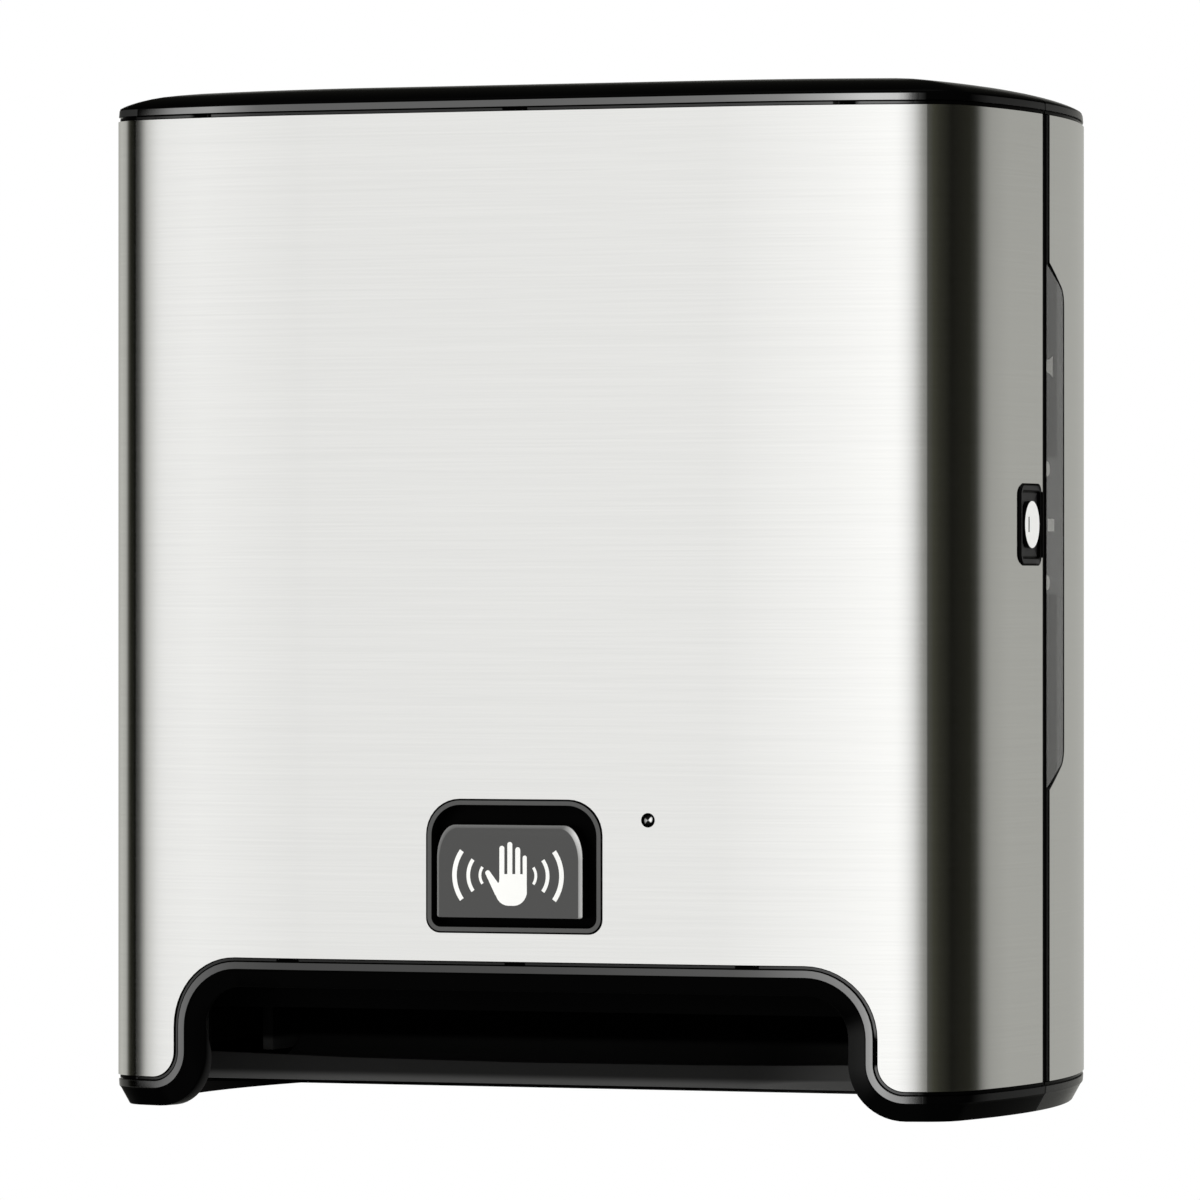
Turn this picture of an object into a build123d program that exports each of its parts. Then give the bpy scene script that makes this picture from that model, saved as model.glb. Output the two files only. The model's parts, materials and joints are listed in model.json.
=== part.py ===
"""Touch-free roll towel dispenser for a wall.

Frame: +X to the viewer's right, front towards -Y, +Z up.
Origin at the middle of the rear wall's outer face, which lies on the plane y = 0.
A brushed steel wrap covers a hinged black cover and a fixed rear case.
Inside are the roll arms, the feed rollers with their motor, the battery box and the chute.
All sizes are millimetres.
"""
import os
from math import acos, asin, cos, hypot, pi, radians, sin, sqrt, tan

from build123d import *

os.makedirs("parts", exist_ok=True)

# Towel roll
roll_r = 85.0
roll_w = 203.0
core_bore_r = 19.0
core_t = 1.5

# Room that the case leaves round the roll
roll_back_gap = 13.0
roll_front_gap = 23.0
roll_top_gap = 18.9
roll_low_gap = 9.0
side_bay = 60.5

# Case
shoulder_r = 252.0
shoulder_turn = 17.0
corner_r = 18.0
corner_min_r = 3.0
side_start = 76.0
side_r = 286.0
cover_depth = 88.0
trim_height = 10.9
cap_height = 12.6
skin_t = 0.8
shell_t = 2.4
back_t = 3.0
fit_gap = 0.3
skin_gap = 0.2

# Seam between cover and rear case
seam_gap = 3.0
cap_gap = 1.6
strip = 4.2
rim_w = 17.0
rim_inset = 0.4
gasket_w = 4.0

# Mouldings along the steel's edges
reveal_w = 1.8
band_w = 2.9
step_w = 3.1
band_inset = 0.2
step_inset = 0.9
reveal_inset = 2.4
trim_wall = 9.6
tongue_h = 6.0
tongue_t = 2.6
crown_share = (0.0, 0.43, 0.78, 1.0)
crown_inset = (0.4, 8.0, 24.0, 56.0)
cap_wall = 3.0
floor_t = 2.5
floor_lift = 6.4
rear_edge = 2.5

# Towel mouth
mouth_side = 37.5
mouth_rise = 44.3
mouth_r = 26.0
flare_r = 9.5

# Sensor pocket
sensor_w = 67.0
sensor_h = 47.7
sensor_rise = 34.2
sensor_top_r = 11.0
sensor_low_r = 5.4
sensor_rim = 2.2
sensor_depth = 14.0
sensor_pocket = 8.0
sensor_proud = 0.4
pad_w = 55.7
pad_h = 33.3
pad_drop = 1.8
pad_shift = -1.2
pad_proud = 0.8
pad_top_r = 11.0
pad_bevel = 1.3
diode_r = 2.5
diode_pitch = 22.0
board_t = 1.6

# Status lamp
lamp_gap = 17.5
lamp_rise = 51.2
lamp_r = 2.3
lamp_bevel = 0.8
lamp_collar_r = 4.0
lamp_collar_l = 7.0

# Lock
lock_setback = 16.5
lock_drop = 148.3
plate_w = 27.0
plate_h = 29.0
plate_corner_r = 4.0
plate_depth = 10.0
plate_frame = 2.6
plate_pan = 1.0
lock_face = 0.1
lock_proud = 0.8
key_r = 8.5
key_t = 2.4
barrel_r = 6.0
run_gap = 0.05
keyway_w = 1.6
keyway_h = 5.5
keyway_shift = -4.0
keyway_depth = 1.5
cam_t = 2.5
cam_hub_r = 8.0
cam_arm_w = 7.0
cam_hook_t = 4.4
cam_rest = 110.0
cam_hook_tail = 34.0
cam_clear = 0.6
strike_t = 6.0
strike_y = 7.2
strike_reach = 4.5

# Side window
window_len = 20.3
window_up = 95.0
window_down = 95.9
window_slope = 15.0
window_t = 2.0
window_inset = 0.4

# Piano hinge on the left seam
hinge_inset = 4.0
knuckle_r = 3.5
pin_r = 1.5
relief_r = 7.5
leaf_t = 1.0
leaf_gap = 0.25
knuckles = 9
knuckle_gap = 0.4
hinge_margin = 9.0

# Wall screws
screw_side = 26.0
screw_edge = 46.5
screw_r = 3.25
boss_r = 9.0
boss_h = 3.0

# Roll arms
arm_t = 4.0
arm_gap = 4.0
hub_flange_t = 2.5
hub_flange_r = 24.0
hub_plug_l = 10.0
hub_plug_tip_r = 15.0
hub_plug_swing_gap = 0.7
arm_tip_r = 15.0
arm_root_r = 24.0
arm_foot_w = 16.0
arm_foot_t = 3.0
pivot_back = 15.0
pivot_r = 2.5
pivot_knuckle_r = 5.0
pivot_half = 24.0
lug_t = 6.0

# Feed module
plate_gap = 4.0
plate_t = 4.0
module_setback = 43.0
module_rise = 65.3
foot_w = 14.0
panel_t = 3.0
panel_rise = 7.3
guard_over = 1.0
plate_rim = 12.0
drive_setback = 43.0
drive_rise = 31.3
drive_core_r = 14.0
drive_sleeve_r = 17.0
sleeve_w = 34.0
sleeve_count = 4
shaft_r = 4.0
nip_gap = 0.4
press_drop = 4.0
press_r = 9.0
press_shaft_r = 3.0
end_play = 0.5

# Gears and motor
gear_module = 1.1
gear_teeth = 42
pinion_teeth = 14
pressure_angle = 25.0
gear_face = 8.0
gear_side_gap = 1.0
tooth_share = 0.46
addendum = 0.9
dedendum = 1.2
gear_line = 30.0
motor_r = 12.0
motor_l = 40.0
motor_bevel = 1.0
motor_shaft_r = 1.5
motor_grip = 10.0

# Tear bar and chute
tear_t = 1.0
tear_h = 34.0
tear_drop = 18.7
tooth_pitch = 6.0
tooth_h = 2.5
chute_r = 44.0
chute_t = 2.5
chute_setback = 13.0
chute_rise = 3.3
lip_h = 6.3
lip_over = 17.0
lip_dip = 2.3
lip_room = 2.0
chute_rib_t = 2.0
chute_rib_h = 1.5
chute_rib_count = 7
chute_rib_turn = 50.0

# Battery box
cell_r = 16.7
cell_l = 60.5
cell_gap = 0.6
box_t = 2.0
box_lift = 4.0
box_end = 4.0
door_t = 3.0
door_pin_r = 1.5
lug_reach = 6.0
lug_x = 4.0

# Control board and feed button
board_w = 104.0
board_h = 46.0
board_drop = 3.7
board_post_r = 3.0
board_post_h = 5.0
button_side = 31.0
button_rise = 51.3
button_r = 8.0
button_cap_t = 4.0
button_bevel = 1.2
button_stem_r = 4.0
button_collar_r = 6.0
button_collar_t = 2.0
button_travel = 3.0
button_free = 1.0

# Overall size: the case is built round the roll, and stacked from mouth, feed module, battery box and roll
half_roll = roll_w / 2
arm_x = half_roll + arm_gap + hub_flange_t
width = 2 * (arm_x + arm_t + side_bay)
depth = roll_back_gap + 2 * roll_r + roll_front_gap
cell_pitch = 2 * cell_r + cell_gap
box_h = cell_pitch + 2 * box_t
height = trim_height + mouth_rise + module_rise + box_lift + box_h
height += roll_low_gap + 2 * roll_r + roll_top_gap + cap_height

# Levels and places worked out from the sizes above
bottom = -height / 2
skin_low = bottom + trim_height
skin_high = height / 2 - cap_height
seam = -depth + cover_depth
cover_rim = seam - seam_gap / 2
rear_rim = seam + seam_gap / 2
shell_inset = skin_t + skin_gap
inner_inset = shell_inset + shell_t
tongue_inset = inner_inset + fit_gap
mouth_top = skin_low + mouth_rise
mouth_half = width / 2 - mouth_side
sensor_z = mouth_top + sensor_rise
lamp_x = sensor_w / 2 + lamp_gap
lamp_z = mouth_top + lamp_rise
lock_y = seam - lock_setback
lock_z = skin_high - lock_drop
window_top = lock_z + window_up
window_low = lock_z - window_down
roll_y = -roll_back_gap - roll_r
roll_z = skin_high - roll_top_gap - roll_r
pivot_y = -pivot_back
plate_x = arm_x + arm_t + plate_gap
screw_dx = 2 * (plate_x - screw_side)
screw_dz = height - 2 * screw_edge
module_front = -depth + module_setback
module_top = mouth_top + module_rise
panel_low = mouth_top + panel_rise
drive_y = module_front + drive_setback
drive_z = mouth_top + drive_rise
sleeve_pitch = (roll_w - sleeve_w) / (sleeve_count - 1)
tear_low = mouth_top - tear_drop
guard_low = tear_low - guard_over
chute_y = module_front + chute_setback
chute_z = mouth_top + chute_rise
lip_half = mouth_half + lip_over
box_low = module_top + box_lift
box_top = box_low + box_h
board_z = mouth_top - board_drop
button_x = plate_x - button_side
button_z = mouth_top + button_rise
front_turn = radians(shoulder_turn)
side_turn = radians(side_start)
back_in = -back_t
module_low = skin_low + tongue_h + lip_room
past = 5.0


def wrap_radii(inset):
    """Shoulder, corner and side radii of the plan outline drawn in by inset."""
    return shoulder_r - inset, max(corner_r - inset, corner_min_r), side_r - inset


def wrap_centres(inset):
    """Half the flat front, and the centres of the shoulder, corner and side arcs on the right."""
    shoulder, corner, side = wrap_radii(inset)
    flat = width / 2 - inset - side * (1 - sin(side_turn))
    flat -= corner * (sin(side_turn) - sin(front_turn)) + shoulder * sin(front_turn)
    shoulder_c = Vector(flat, -depth + inset + shoulder)
    corner_c = shoulder_c + Vector(sin(front_turn), -cos(front_turn)) * (shoulder - corner)
    side_c = corner_c + Vector(sin(side_turn), -cos(side_turn)) * (corner - side)
    return flat, shoulder_c, corner_c, side_c


def side_x(y, inset=0.0):
    """How far out the right-hand side stands at depth y."""
    side = wrap_radii(inset)[2]
    centre = wrap_centres(inset)[3]
    return centre.X + sqrt(side**2 - (y - centre.Y) ** 2)


def turn_arc(centre, radius, start, end):
    """Arc whose outward normal turns from start to end, measured from -Y towards +X."""
    on_arc = [centre + Vector(sin(a), -cos(a)) * radius for a in (start, (start + end) / 2, end)]
    ThreePointArc(*on_arc)
    return on_arc[-1]


def wrap_lines(inset, back):
    """Closed plan outline of the case, drawn in by inset and cut off at y = back."""
    shoulder, corner, side = wrap_radii(inset)
    flat, shoulder_c, corner_c, side_c = wrap_centres(inset)
    Line((0, -depth + inset), (flat, -depth + inset))
    turn_arc(shoulder_c, shoulder, 0, front_turn)
    turn_arc(corner_c, corner, front_turn, side_turn)
    last = turn_arc(side_c, side, side_turn, acos((side_c.Y - back) / side))
    Line(last, (0, back))
    mirror(about=Plane.YZ)


def wrap_sketch(inset, level, back=0.0):
    """The plan outline as a face at height level."""
    with BuildSketch(Plane.XY.offset(level)) as plan:
        with BuildLine():
            wrap_lines(inset, back)
        make_face()
    return plan.sketch


def wrap_prism(inset, low, high, back=0.0, mode=Mode.ADD):
    """The plan outline as a prism between two heights."""
    extrude(wrap_sketch(inset, low, back), amount=high - low, mode=mode)


def wrap_wall(outer, inner, low, high, back):
    """A wall that follows the plan outline, open at y = back."""
    wrap_prism(outer, low, high, back)
    wrap_prism(inner, low - past, high + past, back + past, mode=Mode.SUBTRACT)


def edge_lines(away, low):
    """Closed front outline of all that lies below the steel's lower edge, moved away from it.

    The edge runs level, turns up with the flare, climbs and turns over into the mouth's top.
    """
    slant = sqrt(0.5)
    upper = Vector(mouth_half - mouth_r, mouth_top - mouth_r)
    lower = Vector(mouth_half + flare_r, skin_low + flare_r)
    up_r = mouth_r - away
    low_r = flare_r + away
    Line((0, mouth_top - away), upper + Vector(0, up_r))
    ThreePointArc(upper + Vector(0, up_r), upper + Vector(slant, slant) * up_r, upper + Vector(up_r, 0))
    Line(upper + Vector(up_r, 0), lower + Vector(-low_r, 0))
    ThreePointArc(lower + Vector(-low_r, 0), lower - Vector(slant, slant) * low_r, lower + Vector(0, -low_r))
    Line(lower + Vector(0, -low_r), (width, skin_low - away))
    Line((width, skin_low - away), (width, low))
    Line((width, low), (0, low))
    mirror(about=Plane.YZ)


def below_edge(away, mode):
    """All that lies below the steel's lower edge, moved away from it."""
    with BuildSketch(Plane.XZ) as view:
        with BuildLine():
            edge_lines(away, bottom - past)
        make_face()
    extrude(view.sketch, amount=depth + past, mode=mode)


def trim_layer(near, far, outer, inner):
    """One layer of the lower moulding: from near to far below the steel's edge, outer to inner deep."""
    with BuildPart() as layer:
        below_edge(near, Mode.ADD)
        below_edge(far, Mode.SUBTRACT)
        wrap_prism(outer, bottom - past, skin_high, cover_rim, mode=Mode.INTERSECT)
        wrap_prism(inner, bottom - past, skin_high, 0, mode=Mode.SUBTRACT)
    return layer.part


def block(x, y, z, mode=Mode.ADD):
    """A box between pairs of limits along X, Y and Z."""
    spans = (x, y, z)
    with Locations(tuple((a + b) / 2 for a, b in spans)):
        Box(*(abs(b - a) for a, b in spans), mode=mode)


def rod(y, z, radius, x, mode=Mode.ADD):
    """A round bar along X between the two limits in x."""
    with BuildSketch(Plane.YZ.offset(x[0])) as face:
        with Locations((y, z)):
            Circle(radius)
    extrude(face.sketch, amount=x[1] - x[0], mode=mode)


def post(x, z, radius, y, mode=Mode.ADD):
    """A round post along Y between the two limits in y."""
    with BuildSketch(Plane.XZ.offset(-y[1])) as face:
        with Locations((x, z)):
            Circle(radius)
    extrude(face.sketch, amount=y[1] - y[0], mode=mode)


def pillar(x, y, radius, z, mode=Mode.ADD):
    """A round pillar along Z between the two limits in z."""
    with BuildSketch(Plane.XY.offset(z[0])) as face:
        with Locations((x, y)):
            Circle(radius)
    extrude(face.sketch, amount=z[1] - z[0], mode=mode)


hinge_x = -(side_x(seam) - hinge_inset)


def hinge_relief():
    """Round groove along the left seam that gives the hinge room to turn."""
    pillar(hinge_x, seam, relief_r, (bottom - past, height / 2 + past), mode=Mode.SUBTRACT)


def save(piece, name):
    """Label a finished piece and write it."""
    piece.part.label = name
    export_step(piece.part, f"parts/{name}.step")


def sensor_outline(gap):
    """Front outline of the sensor pocket, grown by gap: round above, tighter below."""
    half_w = sensor_w / 2 + gap
    half_h = sensor_h / 2 + gap
    with Locations((0, sensor_z)):
        Rectangle(2 * half_w, 2 * half_h)
    corners = vertices().group_by(Axis.Y)
    fillet(corners[-1], sensor_top_r + gap)
    fillet(vertices().group_by(Axis.Y)[0], sensor_low_r + gap)


def cut_sensor(gap):
    """Hole for the sensor pocket through the front wall."""
    with BuildSketch(Plane.XZ.offset(depth - trim_wall - reveal_inset)) as face:
        sensor_outline(gap)
    extrude(face.sketch, amount=trim_wall + reveal_inset + past, mode=Mode.SUBTRACT)


def lock_plate(gap, x, mode=Mode.ADD):
    """The lock plate's rounded rectangle, grown by gap, between two limits in x."""
    with BuildSketch(Plane.YZ.offset(x[0])) as face:
        with Locations((lock_y, lock_z)):
            RectangleRounded(plate_w + 2 * gap, plate_h + 2 * gap, plate_corner_r + gap)
    extrude(face.sketch, amount=x[1] - x[0], mode=mode)


def seam_rim(y, side_y):
    """Rims down both sides of the seam between two limits in y.

    With them comes the round wall behind the hinge groove, kept to the limits side_y.
    """
    inner = side_x(seam) - rim_w
    with BuildPart() as rims:
        wrap_prism(rim_inset, skin_low, skin_high, y[1])
        block((-width, width), (-depth - past, y[0]), (bottom, height), mode=Mode.SUBTRACT)
        block((-inner, inner), (-depth, 0), (bottom, height), mode=Mode.SUBTRACT)
    with BuildPart() as channel:
        wrap_prism(shell_inset, skin_low, skin_high)
        pillar(hinge_x, seam, relief_r + shell_t, (skin_low, skin_high), mode=Mode.INTERSECT)
        block((-width, 0), side_y, (bottom, height), mode=Mode.INTERSECT)
    return [rims.part, channel.part]


def clear_tongue(low, high):
    """Stop a moulding's tongue short of the seam rims, between two heights."""
    stop = relief_r + shell_t + fit_gap
    block((-width, width), (seam - stop, seam + stop), (low, high), mode=Mode.SUBTRACT)


# Lock levels along X
key_face = width / 2 - lock_face
plate_face = key_face - lock_proud
plate_back = plate_face - plate_depth
rim_inner_x = side_x(seam) - rim_w
cam_x = rim_inner_x - fit_gap - 2 * cam_t


def cover_holes(gap):
    """Holes that every layer of the cover's wall has: sensor, lamp and lock."""
    cut_sensor(gap)
    post(lamp_x, lamp_z, lamp_r + gap, (-depth - past, -depth + trim_wall), mode=Mode.SUBTRACT)
    lock_plate(gap, (rim_inner_x - past, width / 2 + past), mode=Mode.SUBTRACT)


# Cover skin: the steel wrap with its mouth and holes
with BuildPart() as cover_skin:
    wrap_wall(0, skin_t, skin_low, skin_high, seam - strip)
    below_edge(0, Mode.SUBTRACT)
    cover_holes(fit_gap)
    hinge_relief()
save(cover_skin, "cover_skin")

# Cover shell: the black liner behind the wrap, with a rim along the seam
cover_rims = seam_rim((seam - strip + fit_gap, cover_rim), (-depth, cover_rim))
with BuildPart() as cover_shell:
    wrap_wall(shell_inset, inner_inset, skin_low, skin_high, cover_rim)
    add(cover_rims)
    below_edge(0, Mode.SUBTRACT)
    cover_holes(fit_gap)
    hinge_relief()
save(cover_shell, "cover_shell")

# Lower moulding of the cover: reveal, bright band and stepped lip around the mouth
trim_inner = reveal_inset + trim_wall
trim_layers = [
    trim_layer(fit_gap, trim_height, reveal_inset, trim_inner),
    trim_layer(reveal_w, reveal_w + band_w, band_inset, trim_inner),
    trim_layer(reveal_w + band_w, reveal_w + band_w + step_w, step_inset, trim_inner),
    trim_layer(-tongue_h, reveal_w, tongue_inset, tongue_inset + tongue_t),
]
with BuildPart() as cover_bottom_trim:
    for layer in trim_layers:
        add(layer)
    clear_tongue(skin_low, skin_low + tongue_h + past)
    hinge_relief()
save(cover_bottom_trim, "cover_bottom_trim")


def crowned_cap():
    """The whole top cap: tongue, reveal, bright band and a crown that rises in stages."""
    band_low = skin_high + reveal_w
    band_high = band_low + band_w
    with BuildPart() as cap:
        wrap_prism(reveal_inset, skin_high + fit_gap, band_low)
        wrap_prism(band_inset, band_low, band_high)
        rise = [(cap_height - reveal_w - band_w) * share for share in crown_share]
        loft([wrap_sketch(inset, band_high + up) for inset, up in zip(crown_inset, rise)], ruled=True)
        wrap_prism(tongue_inset, skin_high - tongue_h, skin_high + fit_gap)
        inner = tongue_inset + tongue_t
        wrap_prism(inner, skin_high - tongue_h - past, band_high, back_in, mode=Mode.SUBTRACT)
        middle = crown_inset[-2] + cap_wall
        wrap_prism(middle, skin_high, band_high + rise[-2] - cap_wall, -middle, mode=Mode.SUBTRACT)
        clear_tongue(skin_high - tongue_h - past, skin_high)
        hinge_relief()
    return cap.part


whole_cap = crowned_cap()

# Cover top cap: the part of the cap in front of the seam
with BuildPart() as cover_top_cap:
    add(whole_cap)
    split(bisect_by=Plane.XZ.offset(-seam + cap_gap / 2), keep=Keep.TOP)
save(cover_top_cap, "cover_top_cap")

# Rear top cap: the part behind the seam
with BuildPart() as rear_top_cap:
    add(whole_cap)
    split(bisect_by=Plane.XZ.offset(-seam - cap_gap / 2), keep=Keep.BOTTOM)
    block((-width, width), (back_in - fit_gap, past), (bottom, skin_high + fit_gap), mode=Mode.SUBTRACT)
save(rear_top_cap, "rear_top_cap")

# Rear places worked out from the sizes
wall_in = back_in - fit_gap
rear_skin_front = seam + strip


def rear_only(y):
    """Cut off all that lies in front of depth y."""
    block((-width, width), (-depth - past, y), (bottom - past, height), mode=Mode.SUBTRACT)


def window_prism(gap, x, mode=Mode.ADD):
    """The side window's outline, grown by gap, between two limits in x."""
    front = rear_skin_front - gap
    rear = rear_skin_front + window_len + gap
    with BuildSketch(Plane.YZ.offset(x[0])) as face:
        with BuildLine():
            Polyline(
                (front, window_low - gap),
                (rear, window_low + window_slope - gap),
                (rear, window_top - window_slope + gap),
                (front, window_top + gap),
                close=True,
            )
        make_face()
    extrude(face.sketch, amount=x[1] - x[0], mode=mode)


screw_places = GridLocations(screw_dx, screw_dz, 2, 2).locations
board_posts = GridLocations(board_w - 4 * board_post_r, board_h - 4 * board_post_r, 2, 2).locations

# Rear shell: back wall, side walls, seam rims, screw bosses and board posts
rear_rims = seam_rim((rear_rim, rear_skin_front - fit_gap), (rear_rim, 0))
with BuildPart() as rear_shell:
    wrap_prism(shell_inset, skin_low, skin_high)
    wrap_prism(inner_inset, skin_low - past, skin_high + past, back_in, mode=Mode.SUBTRACT)
    rear_only(rear_rim)
    add(rear_rims)
    window_prism(fit_gap, (rim_inner_x, width), mode=Mode.SUBTRACT)
    for place in screw_places:
        post(place.position.X, place.position.Y, boss_r, (back_in - boss_h, back_in))
        post(place.position.X, place.position.Y, screw_r, (back_in - boss_h - past, past), mode=Mode.SUBTRACT)
    for place in board_posts:
        post(place.position.X, board_z + place.position.Y, board_post_r, (wall_in - board_post_h, back_in))
    hinge_relief()
save(rear_shell, "rear_shell")


def rear_skin(sign):
    """One steel side band of the rear case: sign is 1 on the right and -1 on the left."""
    with BuildPart() as band:
        wrap_prism(0, skin_low, skin_high, -rear_edge)
        wrap_prism(skin_t, skin_low - past, skin_high + past, past, mode=Mode.SUBTRACT)
        rear_only(rear_skin_front)
        block((-sign * width, 0), (-depth, past), (bottom, height), mode=Mode.SUBTRACT)
        if sign > 0:
            window_prism(0, (0, width), mode=Mode.SUBTRACT)
        hinge_relief()
    return band


save(rear_skin(1), "rear_skin_right")
save(rear_skin(-1), "rear_skin_left")

# Smoked window in the right side band
with BuildPart() as side_window:
    wrap_prism(window_inset, skin_low, skin_high)
    wrap_prism(window_inset + window_t, skin_low - past, skin_high + past, past, mode=Mode.SUBTRACT)
    window_prism(-fit_gap, (rim_inner_x, width), mode=Mode.INTERSECT)
save(side_window, "side_window")


def rear_trim_ring(outer, inner, low, high, back):
    """One level of the rear case's lower moulding, closed along the wall."""
    with BuildPart() as ring:
        wrap_prism(outer, low, high, back)
        wrap_prism(inner, low - past, high + past, back - back_t, mode=Mode.SUBTRACT)
        rear_only(seam + cap_gap / 2)
    return ring.part


# Rear bottom trim: the same moulding around the rear case, with a floor behind the chute
band_top = skin_low - reveal_w
step_top = band_top - band_w
lip_top = step_top - step_w
rear_rings = [
    rear_trim_ring(tongue_inset, tongue_inset + tongue_t, band_top, skin_low + tongue_h, wall_in),
    rear_trim_ring(reveal_inset, trim_inner, bottom, skin_low - fit_gap, 0),
    rear_trim_ring(band_inset, trim_inner, step_top, band_top, 0),
    rear_trim_ring(step_inset, trim_inner, lip_top, step_top, 0),
]
with BuildPart() as rear_bottom_trim:
    for ring in rear_rings:
        add(ring)
    wrap_prism(reveal_inset + skin_t, bottom + floor_lift, bottom + floor_lift + floor_t, back_in / 2)
    rear_only(seam + cap_gap / 2)
    clear_tongue(skin_low, skin_low + tongue_h + past)
    hinge_relief()
save(rear_bottom_trim, "rear_bottom_trim")

# Sensor pocket: a moulded well with a rim, and two eyes for the diodes
well_floor = -depth - sensor_proud + sensor_pocket
well_back = -depth + sensor_depth
with BuildPart() as sensor_bezel:
    with BuildSketch(Plane.XZ.offset(-well_back)):
        sensor_outline(0)
    extrude(amount=sensor_depth + sensor_proud)
    with BuildSketch(Plane.XZ.offset(-well_floor)):
        sensor_outline(-sensor_rim)
    extrude(amount=sensor_pocket + past, mode=Mode.SUBTRACT)
    for x in (-diode_pitch / 2, diode_pitch / 2):
        post(x, sensor_z, diode_r + fit_gap, (well_floor - past, well_back + past), mode=Mode.SUBTRACT)
save(sensor_bezel, "sensor_bezel")

# Sensor pad: a raised tombstone in the pocket with a bevelled edge
with BuildPart() as sensor_pad:
    with BuildSketch(Plane.XZ.offset(-well_floor + skin_gap)):
        with Locations((pad_shift, sensor_z - pad_drop)):
            Rectangle(pad_w, pad_h)
        fillet(vertices().group_by(Axis.Y)[-1], pad_top_r)
    extrude(amount=sensor_pocket - sensor_proud - skin_gap + pad_proud)
    front_edges = faces().sort_by(Axis.Y)[0].edges()
    chamfer(front_edges.sort_by(Axis.Z)[1:], pad_bevel)
save(sensor_pad, "sensor_pad")

# Sensor board: a small card behind the pocket with a sender and a receiver
with BuildPart() as sensor_board:
    board_span = (well_back + fit_gap, well_back + fit_gap + board_t)
    half_w = sensor_w / 2 - sensor_top_r
    half_h = sensor_h / 2 - sensor_top_r
    block((-half_w, half_w), board_span, (sensor_z - half_h, sensor_z + half_h))
    for x in (-diode_pitch / 2, diode_pitch / 2):
        post(x, sensor_z, diode_r, (well_floor + fit_gap, well_back + fit_gap))
save(sensor_board, "sensor_board")

# Status lamp: a domed lens in a black collar
with BuildPart() as lamp_lens:
    with BuildSketch(Plane.XZ.offset(depth - lamp_collar_l)):
        with Locations((lamp_x, lamp_z)):
            Circle(lamp_r - fit_gap)
    extrude(amount=lamp_collar_l)
    chamfer(faces().sort_by(Axis.Y)[0].edges(), lamp_bevel)
save(lamp_lens, "lamp_lens")

with BuildPart() as lamp_collar:
    collar_front = -depth + inner_inset + fit_gap
    post(lamp_x, lamp_z, lamp_collar_r, (collar_front, -depth + lamp_collar_l))
    post(lamp_x, lamp_z, lamp_r, (collar_front - past, past), mode=Mode.SUBTRACT)
save(lamp_collar, "lamp_collar")

# Lock plate: a framed insert with a bore for the cylinder
with BuildPart() as lock_escutcheon:
    lock_plate(0, (plate_back, plate_face))
    lock_plate(-plate_frame, (plate_face - plate_pan, plate_face + past), mode=Mode.SUBTRACT)
    rod(lock_y, lock_z, barrel_r + run_gap, (plate_back - past, width), mode=Mode.SUBTRACT)
    rod(lock_y, lock_z, key_r + fit_gap, (key_face - key_t - fit_gap, width), mode=Mode.SUBTRACT)
save(lock_escutcheon, "lock_escutcheon")

# Lock cylinder: the bright key disc on its barrel, with a keyway
with BuildPart() as lock_cylinder:
    rod(lock_y, lock_z, barrel_r, (cam_x + cam_t + fit_gap, key_face - key_t))
    rod(lock_y, lock_z, key_r, (key_face - key_t, key_face))
    keyway_y = lock_y + keyway_shift
    slot_y = (keyway_y - keyway_w / 2, keyway_y + keyway_w / 2)
    slot_z = (lock_z - keyway_h / 2, lock_z + keyway_h / 2)
    block((key_face - keyway_depth, key_face + past), slot_y, slot_z, mode=Mode.SUBTRACT)
save(lock_cylinder, "lock_cylinder")

# Lock cam: a flat arm whose hook swings behind the strike
strike_front = rear_skin_front
strike_back = strike_front + strike_y
strike_half = strike_t / 2
hook_in = hypot(strike_back - lock_y, strike_half) + cam_clear
hook_out = hook_in + cam_hook_t


def polar(radius, angle):
    """Point in the Y-Z plane around the lock's axis."""
    return (lock_y + radius * cos(angle), lock_z + radius * sin(angle))


with BuildPart() as lock_cam:
    arm_angle = radians(cam_rest)
    arm_half = asin(cam_arm_w / 2 / hook_in)
    tail_angle = arm_angle - radians(cam_hook_tail)
    with BuildSketch(Plane.YZ.offset(cam_x)) as cam_face:
        with Locations((lock_y, lock_z)):
            Circle(cam_hub_r)
        with BuildLine():
            Polyline(
                polar(cam_hub_r / 2, arm_angle + pi / 2),
                polar(hook_out, arm_angle + arm_half),
                polar(hook_out, arm_angle - arm_half),
                polar(cam_hub_r / 2, arm_angle - pi / 2),
                close=True,
            )
        make_face()
        with BuildLine():
            middle = (arm_angle + tail_angle) / 2
            ThreePointArc(polar(hook_in, arm_angle), polar(hook_in, middle), polar(hook_in, tail_angle))
            Line(polar(hook_in, tail_angle), polar(hook_out, tail_angle))
            ThreePointArc(polar(hook_out, tail_angle), polar(hook_out, middle), polar(hook_out, arm_angle))
            Line(polar(hook_out, arm_angle), polar(hook_in, arm_angle))
        make_face()
    extrude(amount=cam_t)
save(lock_cam, "lock_cam")

# Seam gasket: a rubber strip on the rear rim that closes the gap on the lock side
with BuildPart() as seam_gasket:
    gasket_x = (rim_inner_x + fit_gap, rim_inner_x + fit_gap + gasket_w)
    block(gasket_x, (cover_rim + fit_gap, rear_rim), (skin_low, skin_high))
save(seam_gasket, "seam_gasket")

# Strike: the bar behind the rear rim that the cam hooks
with BuildPart() as strike:
    strike_x = (cam_x - strike_reach, side_x(seam, inner_inset) - fit_gap)
    block(strike_x, (strike_front, strike_back), (lock_z - strike_half, lock_z + strike_half))
save(strike, "strike")

# Piano hinge
hinge_low = skin_low + hinge_margin
hinge_high = skin_high - hinge_margin
knuckle_l = (hinge_high - hinge_low) / knuckles
leaf_end = -rim_inner_x


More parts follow.
